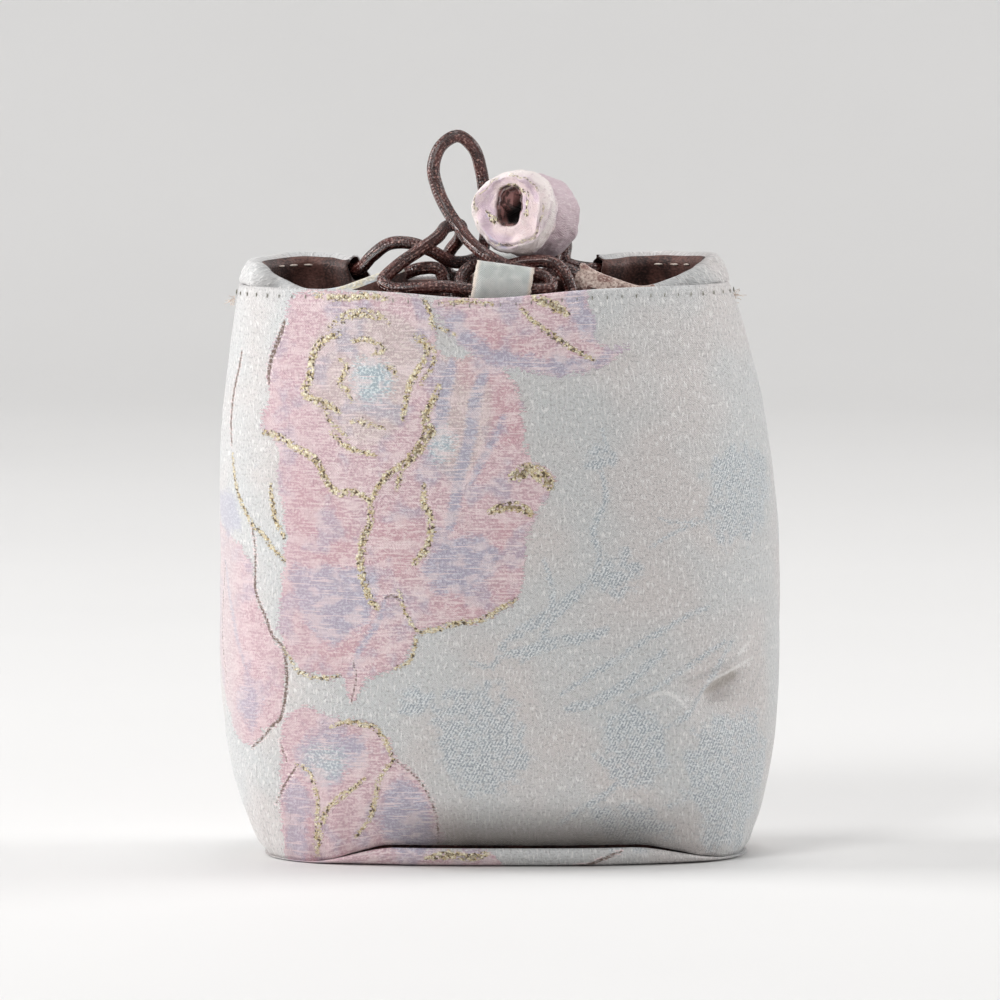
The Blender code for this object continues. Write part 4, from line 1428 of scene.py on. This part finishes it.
# Cord loops: pale satin folded over the cord, its ends slanted
loop = {
    "halfHeight": 3.9,
    "halfWidth": 1.9,
    "rows": 18,
    "press": 0.35,
    "outward": 0.0,
    "lean": 0.0,
    "box": 0.6,
    "ragged": 0.3,
    "crumple": 0.3,
    "leftTop": -3.5,
    "leftLow": -5.0,
    "rightTop": 5.3,
    "rightLow": 4.1,
    "fall": 1.2,
}


def satinMaterial():
    made, tree, shader = newMaterial("paleSatin", {"Roughness": 0.42, "Sheen Weight": 0.2})
    place = inMillimetres(tree)
    turned = {"Vector": place, "Rotation": (math.pi / 2, 0.0, 0.0)}
    upright = put(tree, "ShaderNodeMapping", turned).outputs[0]
    threads = useGroup(threadsGroup, upright, {"Warp pitch": 0.34, "Weft pitch": 0.3, "Slub": 0.5})
    colour = layered(
        blend(ramp(grain(place, 0.5), 0.35, 0.65), rgb(196, 200, 196), rgb(222, 223, 219)),
        (mul(threads["Weave"], 0.4), rgb(176, 184, 184)),
        (ramp(attribute(tree, "edge"), 0.55, 0.95), rgb(238, 222, 208)),
    )
    surface(shader, colour, mad(grain(place, 1.6), 1.2, threads["Weave"]), 0.1)
    return made


satin = satinMaterial()


def loopPiece(name, side):
    n = loop["rows"]
    y = side * (mouth["halfDepth"] - cord["loopSetback"])
    middle = mouth["rim"] + cord["loopLift"]
    x = np.linspace(-1.0, 1.0, n) * cord["loopHalf"]
    centres = np.column_stack([x, np.full(n, y), np.full(n, middle)])
    across = np.tile([0.0, 1.0, 0.0], (n, 1))
    up = np.tile([0.0, 0.0, 1.0], (n, 1))
    widths, heights = np.full(n, loop["halfWidth"]), np.full(n, loop["halfHeight"])
    piece, points = hollowStrap(name, centres, across, up, widths, heights, loop, (satin,))[:2]
    # slant the ends and let the top fall to one side
    flat = points.reshape(-1, 3).copy()
    rise = climb((flat[:, 2] - middle) / loop["halfHeight"], -1.0, 1.0)
    part = np.clip(flat[:, 0] / cord["loopHalf"] * 0.5 + 0.5, -0.05, 1.05)
    left = mixed(loop["leftLow"], loop["leftTop"], rise)
    right = mixed(loop["rightLow"], loop["rightTop"], rise)
    flat[:, 0] = mixed(left, right, part)
    flat[:, 2] += rise * (0.5 - part) * loop["fall"]
    piece.data.vertices.foreach_set("co", (flat * mm).astype(np.float32).ravel())
    piece.data.update()
    paint(piece, "edge", np.abs(part * 2.0 - 1.0) ** 3)
    return piece


frontLoop = loopPiece("frontLoopSatin", -1)
backLoop = loopPiece("backLoopSatin", 1)
print("casings and loops made")

# Bead: a barrel of rolled cloth with a folded cuff and a deep squarish hollow
bead = {
    "radius": 6.1,
    "cuffRadius": 6.75,
    "cuffLength": 4.6,
    "holeRadius": 2.35,
    "holeDepth": 4.6,
    "holeAcross": 0.8,
    "holeTall": 1.32,
    "holePower": 3.6,
    "holeRise": 0.75,
    "rings": 5,
    "sides": 160,
    "crease": 0.42,
    "angular": 0.42,
    "groove": 0.34,
    "lumps": 0.7,
    "filled": 0.72,
    "tucked": 0.75,
}


def beadMaterial():
    made, tree, shader = newMaterial("rolledBrocade", {"Roughness": 0.5, "Sheen Weight": 0.25})
    place = attribute(tree, "cloth", "Vector")
    radius, along, hollow = parted(attribute(tree, "roll", "Vector"))
    threads = useGroup(threadsGroup, place, {"Warp pitch": 0.34, "Weft pitch": 0.3, "Slub": 0.4})
    light = ramp(threads["Floats"], 0.5, 0.68)
    patches = grain(place, 0.22)
    # the lip is nearly white, and the cloth behind the cuff a plainer lilac
    loosely = mad(grain(place, 0.3), 3.6, calc("ADD", radius, -1.8))
    lip = mul(ramp(loosely, 4.9, 6.2), ramp(along, 4.4, 3.0))
    lilac = blend(mul(light, 0.5), rgb(202, 178, 186), rgb(222, 204, 208))
    # gold flecks round the hollow and along the cuff's fold
    gold = useGroup(goldGroup, place, {"Dark": 0.5})
    wander = mad(grain(place, 0.35), 2.6, calc("ADD", radius, -1.3))
    right, upward = parted(place)[:2]
    slant = mad(right, 0.8, upward)
    near = mul(ramp(wander, 2.75, 2.95), ramp(wander, 3.7, 3.5))
    near = mul(near, calc("MAXIMUM", ramp(slant, 0.6, 1.4), ramp(slant, -3.0, -3.5)))
    fold = mul(ramp(wander, 5.2, 5.35), ramp(wander, 5.7, 5.55))
    band = mul(calc("MAXIMUM", near, mul(fold, 0.7)), ramp(along, 0.8, 0.4))
    flecks = mul(mul(band, ramp(grain(place, 0.5), 0.36, 0.42)), ramp(grain(place, 2.4), 0.36, 0.46))
    # painted shade inside the hollow: dark brown near its mouth, nearly black deeper in
    inside = blend(ramp(grain(place, 0.9), 0.42, 0.58), rgb(74, 42, 38), rgb(150, 104, 100))
    inside = blend(ramp(hollow, 1.8, 3.6), inside, rgb(24, 12, 11))
    colour = layered(
        blend(ramp(patches, 0.4, 0.56), rgb(230, 208, 208), rgb(206, 182, 194)),
        (ramp(patches, 0.62, 0.7, 0.0, 0.8), rgb(196, 190, 214)),
        (mul(lip, 0.85), rgb(240, 230, 226)),
        (ramp(along, 4.2, 4.9), lilac),
        (mul(light, 0.35), rgb(246, 236, 234)),
        (ramp(threads["Flecks"], 0.44, 0.3, 0.0, 0.4), rgb(186, 160, 168)),
        (flecks, gold["Color"]),
        (ramp(hollow, 0.02, 0.5), inside),
    )
    height = mad(threads["Floats"], 1.2, mul(threads["Weave"], 0.4))
    surface(shader, colour, mad(mul(flecks, gold["Height"]), 1.4, height), 0.14)
    return made


def beadPiece():
    bore = cord["diameter"] + cord["gap"] / 2 + cord["gap"]
    length = beadPlace["length"]
    body, cuff = bead["radius"], bead["cuffRadius"]
    depth, hole, edge = bead["holeDepth"], bead["holeRadius"], bead["cuffLength"]
    # along the axis, radius, how far it follows the hollow's outline
    profile = [(along * depth, radius * hole, share) for along, radius, share in (
        (1.0, 0.1, 1.0), (0.97, 0.5, 1.0), (0.8, 0.8, 1.0), (0.4, 0.94, 1.0), (0.12, 0.99, 1.0),
        (0.03, 1.04, 1.0), (-0.02, 1.16, 0.9),
    )]
    profile.append((-0.03 * depth, 0.58 * cuff, 0.45))
    profile += [(along * edge, radius * cuff, share) for along, radius, share in (
        (-0.07, 0.74, 0.12), (-0.05, 0.86, 0.0), (0.1, 0.955, 0.0), (0.34, 1.0, 0.0), (0.6, 1.005, 0.0),
        (0.84, 0.985, 0.0), (0.98, 0.95, 0.0), (1.03, 0.9, 0.0), (0.99, 0.86, 0.0),
    )]
    profile.append((1.1 * edge, 0.95 * body, 0.0))
    profile += [(along * length, radius * body, 0.0) for along, radius in (
        (0.45, 1.0), (0.58, 1.05), (0.74, 1.08), (0.9, 1.05), (1.0, 0.95), (1.03, 0.74),
    )]
    profile += [(length, bore + 0.4, 0.0), (length - 0.3, bore, 0.0), (length - beadPlace["bore"], bore, 0.0)]
    line = rounded(profile, steps=bead["rings"])
    turn = around(bead["sides"])
    along = np.broadcast_to(line[:, :1], (len(line), len(turn)))
    share = np.clip(line[:, 2:3], 0.0, 1.0)
    power = bead["holePower"]
    square = (np.abs(np.cos(turn) / bead["holeAcross"]) ** power
              + np.abs(np.sin(turn) / bead["holeTall"]) ** power) ** (-1.0 / power)
    r = line[:, 1:2] * (1.0 + share * (square[None] - 1.0))
    # the cuff's cloth is folded flat in places, with grooves beside its edge
    onCuff = climb(line[:, 1:2], 0.7 * cuff, 0.85 * cuff) * (along < 1.02 * edge)
    facets = np.cos(3.0 * turn[None] + 0.7 + 0.5 * np.sin(turn[None]))
    r = r - onCuff * bead["angular"] * (0.5 + 0.5 * facets)
    low = np.clip(np.cos(turn[None] + 0.5) * 1.6, 0.0, 1.0)
    for place, size in ((0.3, 1.0), (0.66, 0.7)):
        away = along / edge - place - 0.12 * np.sin(turn[None] * 2.0)
        r = r - onCuff * low * size * bead["groove"] * bell(away, 0.075)
    lower = np.clip(-np.sin(turn[None] - 0.3) * 1.5, 0.0, 1.0)
    dent = bead["groove"] * lower * bell(r / cuff - 0.83, 0.03) * (along < 0.1 * edge)
    axis = np.array(beadPlace["axis"])
    right = unit(np.cross(axis, [0.0, 0.0, 1.0]))
    rise = np.cross(right, axis)
    face = np.array(beadPlace["face"]) + np.array([mouth["shift"], 0.0, mouth["rim"]])
    out = right * np.cos(turn)[None, :, None] + rise * np.sin(turn)[None, :, None]
    points = face + axis * (along + dent)[..., None] + out * r[..., None]
    points = points + rise * (bead["holeRise"] * share)[..., None]
    smooth = points
    soft = bead["crease"] * (ripple(smooth, 0.3, 7.0) + 0.4 * ripple(smooth, 0.9, 9.0))
    lumps = bead["lumps"] * ripple(smooth, 0.42, 14.0) * (1.0 - share) * (along < edge)
    points = points + axis * lumps[..., None]
    inner = np.clip(share * (along > 0.1 * depth), 0.0, 1.0)
    # folded cloth fills the hollow's upper left
    filled = inner * np.clip(np.cos(turn[None] - 2.3) + 0.25, 0.0, 1.0) * bead["filled"]
    points = points - axis * (along * filled)[..., None]
    tucked = bead["tucked"] * inner * np.abs(ripple(smooth, 0.8, 2.0))
    points = points + out * (soft * (1.0 - inner) - tucked)[..., None]
    piece = makePiece("rolledBead", points, tubeFaces(*along.shape), beadMaterial())
    walk = runAlong(line[:, :2])
    places = [np.cos(turn)[None] * r, np.sin(turn)[None] * r, np.broadcast_to(walk[:, None], along.shape)]
    paint(piece, "cloth", np.stack(places, axis=-1).reshape(-1, 3))
    # how deep each point lies in the hollow, which sets the hollow's painted shade
    inside = np.where(share > 0.5, np.clip(along * (1.0 - filled) + 0.1, 0.0, None), 0.0)
    paint(piece, "roll", np.column_stack([r.ravel(), along.ravel(), inside.ravel()]))
    return piece


beadCloth = beadPiece()
print("bead made")


# Stitches: one node tree sets thread along any line
stitches = {
    "rimLength": 0.72,
    "rimThickness": 0.18,
    "topLength": 1.5,
    "topThickness": 0.32,
    "topPitch": 2.2,
    "topFrom": 4.6,
    "topTo": 11.0,
    "topRise": 0.25,
    "topOut": 0.6,
    "proud": 0.02,
    "lineSteps": 400,
    "cornerShare": 0.6,
}


def threadMaterial(name, dark, light):
    made, tree, shader = newMaterial(name, {"Roughness": 0.55, "Sheen Weight": 0.2})
    tone = grain(objectPlace(tree), 2600.0)
    surface(shader, blend(ramp(tone, 0.35, 0.65), dark, light), tone, 0.06)
    return made


def stitchTree():
    tree, given, out = newGroup(
        "threadAlongLine", "GeometryNodeTree",
        [
            ("Line", "Geometry"), ("Pitch", "Float"), ("Length", "Float"), ("Thickness", "Float"),
            ("Upright", "Bool"), ("Thread", "Material"), ("Seed", "Int"),
        ],
        [("Stitches", "Geometry")],
    )
    # short ellipsoids of thread at even steps, each a little different in size
    curve = put(tree, "GeometryNodeMeshToCurve", {0: given["Line"]}).outputs[0]
    spaced = {"Curve": curve, "Length": given["Pitch"]}
    dots = put(tree, "GeometryNodeCurveToPoints", spaced, mode="LENGTH").outputs
    ball = put(tree, "GeometryNodeMeshUVSphere", {"Segments": 8, "Rings": 6, "Radius": 0.5}).outputs["Mesh"]
    sides = {0: given["Thickness"], 1: given["Thickness"], 2: given["Length"]}
    size = put(tree, "ShaderNodeCombineXYZ", sides).outputs[0]
    stitch = put(tree, "GeometryNodeTransform", {"Geometry": ball, "Scale": size}).outputs[0]
    ways = {0: given["Upright"], 1: dots["Rotation"]}
    turned = put(tree, "GeometryNodeSwitch", ways, input_type="ROTATION").outputs[0]
    vary = put(tree, "FunctionNodeRandomValue", {2: 0.82, 3: 1.12, "Seed": given["Seed"]}, data_type="FLOAT")
    placed = put(tree, "GeometryNodeInstanceOnPoints", {
        "Points": dots["Points"], "Instance": stitch, "Rotation": turned, "Scale": vary.outputs[1],
    }).outputs[0]
    real = put(tree, "GeometryNodeRealizeInstances", {0: placed}).outputs[0]
    smooth = put(tree, "GeometryNodeSetShadeSmooth", {"Geometry": real}).outputs[0]
    threaded = put(tree, "GeometryNodeSetMaterial", {"Geometry": smooth, "Material": given["Thread"]})
    tree.links.new(threaded.outputs[0], out[0])
    return tree


stitching = stitchTree()


def sewn(name, line, pitch, length, thickness, upright, thread, seed):
    mesh = bpy.data.meshes.new(name + "Line")
    edges = [(i, i + 1) for i in range(len(line) - 1)]
    mesh.from_pydata((np.asarray(line) * mm).tolist(), edges, [])
    guide = linked(name + "Line", mesh)
    sew = guide.modifiers.new("sew", "NODES")
    sew.node_group = stitching
    values = {
        "Pitch": pitch * mm, "Length": length * mm, "Thickness": thickness * mm, "Upright": upright,
        "Thread": thread, "Seed": seed,
    }
    for item in stitching.interface.items_tree:
        if item.item_type == "SOCKET" and item.name in values:
            sew[item.identifier] = values[item.name]
    return linked(name, plainMesh(guide))


darkThread = threadMaterial("darkThread", rgb(104, 104, 92), rgb(150, 148, 134))
paleThread = threadMaterial("paleThread", rgb(190, 170, 158), rgb(236, 224, 212))


def rimLine(start, end):
    height = shell["rimHeight"] - walls["stitchBelow"]
    n = stitches["lineSteps"]
    angles, length = evenAngles(start, end, n, height, 0.0)
    inset = -stitches["proud"] + 0.5 * walls["stitchDip"]
    line = shellPoints(angles, np.full(n, height), np.full(n, inset))
    trim = int(n * stitches["cornerShare"] * walls["stitchPitch"] / length)
    return line[trim:-trim]


threads = []
for name, start, seed in (("rimStitchesFront", math.pi, 3), ("rimStitchesBack", 0.0, 4)):
    line = rimLine(start, start + math.pi)
    threads.append(sewn(name, line, walls["stitchPitch"], stitches["rimLength"], stitches["rimThickness"],
                        True, darkThread, seed))


def casingLine(centres, across, up):
    # dashes on the inner leaf at the back, near the corner
    fromCorner = mouth["halfWidth"] - np.abs(centres[:, 0] - mouth["shift"])
    shown = (centres[:, 1] > 0) & (fromCorner > stitches["topFrom"]) & (fromCorner < stitches["topTo"])
    line = centres + across * (casingShape["halfWidth"] + stitches["topOut"]) + up * stitches["topRise"]
    return line[shown]


for name, centres, across, up in (
    ("leftCasing", leftCentres, leftAcross, leftUp), ("rightCasing", rightCentres, rightAcross, rightUp),
):
    line = casingLine(centres, across, up)
    threads.append(sewn(name + "Stitches", line, stitches["topPitch"], stitches["topLength"],
                        stitches["topThickness"], False, paleThread, 5))

# Frayed thread ends where the side seams meet the rim
fray = {"count": 13, "reach": 1.7, "thickness": 0.045}


def frayedEnds(name, corner, outward, seed):
    random = np.random.RandomState(seed)
    curve = bpy.data.curves.new(name, "CURVE")
    curve.dimensions = "3D"
    curve.bevel_depth = fray["thickness"] * mm
    curve.bevel_resolution = 1
    curve.use_fill_caps = True
    for strand in range(fray["count"]):
        start = np.array(corner) + random.uniform(-0.5, 0.5, 3) * np.array([0.3, 0.5, 1.6])
        way = np.array([outward, 0.0, 0.0]) + random.uniform(-0.9, 0.9, 3)
        bend = random.uniform(-0.6, 0.6, 3)
        spline = curve.splines.new("POLY")
        spline.points.add(5)
        for i, point in enumerate(spline.points):
            t = i / 5
            place = start + way * fray["reach"] * random.uniform(0.45, 0.55) * t + bend * t * t
            point.co = (*(place * mm), 1.0)
    mesh = plainMesh(linked(name + "Strands", curve))
    mesh.materials.clear()
    mesh.materials.append(paleThread)
    return linked(name, mesh)


rimHeight = shell["rimHeight"]
left = mouth["shift"] - mouth["halfWidth"]
right = mouth["shift"] + mouth["halfWidth"]
threads.append(frayedEnds("frayLeft", (left - 0.4, 0.0, rimHeight - 2.2), -1.0, 4))
threads.append(frayedEnds("frayRight", (right + 0.3, 0.0, rimHeight - 1.6), 1.0, 9))
print("threads made")


# What stands for what
def stand(piece, slot, *nodes):
    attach(piece, "root")
    if nodes:
        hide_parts(*nodes)


stand(frontWall, "brocade", "front_wall")
stand(backWall, "brocade", "back_wall")
stand(basePanel, "brocade", "base_panel")
stand(liningBag, "lining", "lining")
stand(leftCasing, "brocade", "casing_left")
stand(rightCasing, "brocade", "casing_right")
stand(frontLoop, "plain_satin", "front_loop")
stand(backLoop, "plain_satin", "back_loop")
stand(beadCloth, "bead_brocade", "bead")
stand(drawcord, "waxed_cord", "drawcord")
for piece in threads:
    stand(piece, "brocade")


# Floor, light and air
room = {
    "halfWidth": 3000.0,
    "front": -2500.0,
    "bend": 900.0,
    "radius": 700.0,
    "bendSteps": 24,
    "top": 2600.0,
    "aim": (0.0, 0.0, 0.055),
    "air": 0.2,
}


def makeFloor():
    made, tree, shader = newMaterial("paleFloor", {"Roughness": 0.7})
    tone = blend(grain(objectPlace(tree), 6.0, 3.0), rgb(226, 225, 224), rgb(232, 231, 230))
    tree.links.new(tone, shader["Base Color"])
    turn = np.linspace(0.0, math.pi / 2, room["bendSteps"])
    bend, radius = room["bend"], room["radius"]
    y = np.concatenate([[room["front"]], bend + radius * np.sin(turn), [bend + radius]])
    z = np.concatenate([[0.0], radius * (1.0 - np.cos(turn)), [room["top"]]])
    xs = (-room["halfWidth"], room["halfWidth"])
    points = np.array([(x, b, c) for x in xs for b, c in zip(y, z)])
    mesh = bpy.data.meshes.new("floor")
    mesh.from_pydata((points * mm).tolist(), [], gridFaces(2, len(y), False, False))
    mesh.shade_smooth()
    mesh.materials.append(made)
    linked("floor", mesh)


makeFloor()

# name: place, power in watts, size, all aimed at the middle of the pouch
lamps = {
    "key": ((-0.85, -1.25, 1.15), 12.5, 0.6),
    "fill": ((1.2, -1.3, 0.5), 3.2, 1.1),
    "edgeLeft": ((-1.2, 0.1, 0.5), 14.0, 0.5),
    "edgeRight": ((1.2, 0.3, 0.5), 8.0, 0.5),
    "top": ((0.1, 0.2, 1.5), 7.0, 0.6),
}


def makeLights():
    for name, (place, power, size) in lamps.items():
        lamp = bpy.data.lights.new(name, "AREA")
        lamp.energy = power
        lamp.size = size
        made = linked(name, lamp)
        made.location = place
        made.rotation_euler = (Vector(room["aim"]) - Vector(place)).to_track_quat("-Z", "Y").to_euler()
    world = bpy.data.worlds.new("air")
    world.use_nodes = True
    bpy.context.scene.world = world
    sky = world.node_tree.nodes["Background"].inputs
    sky["Color"].default_value = (1.0, 1.0, 1.0, 1.0)
    sky["Strength"].default_value = room["air"]
    bpy.context.scene.view_settings.view_transform = "Standard"


makeLights()
print("floor and lights made")
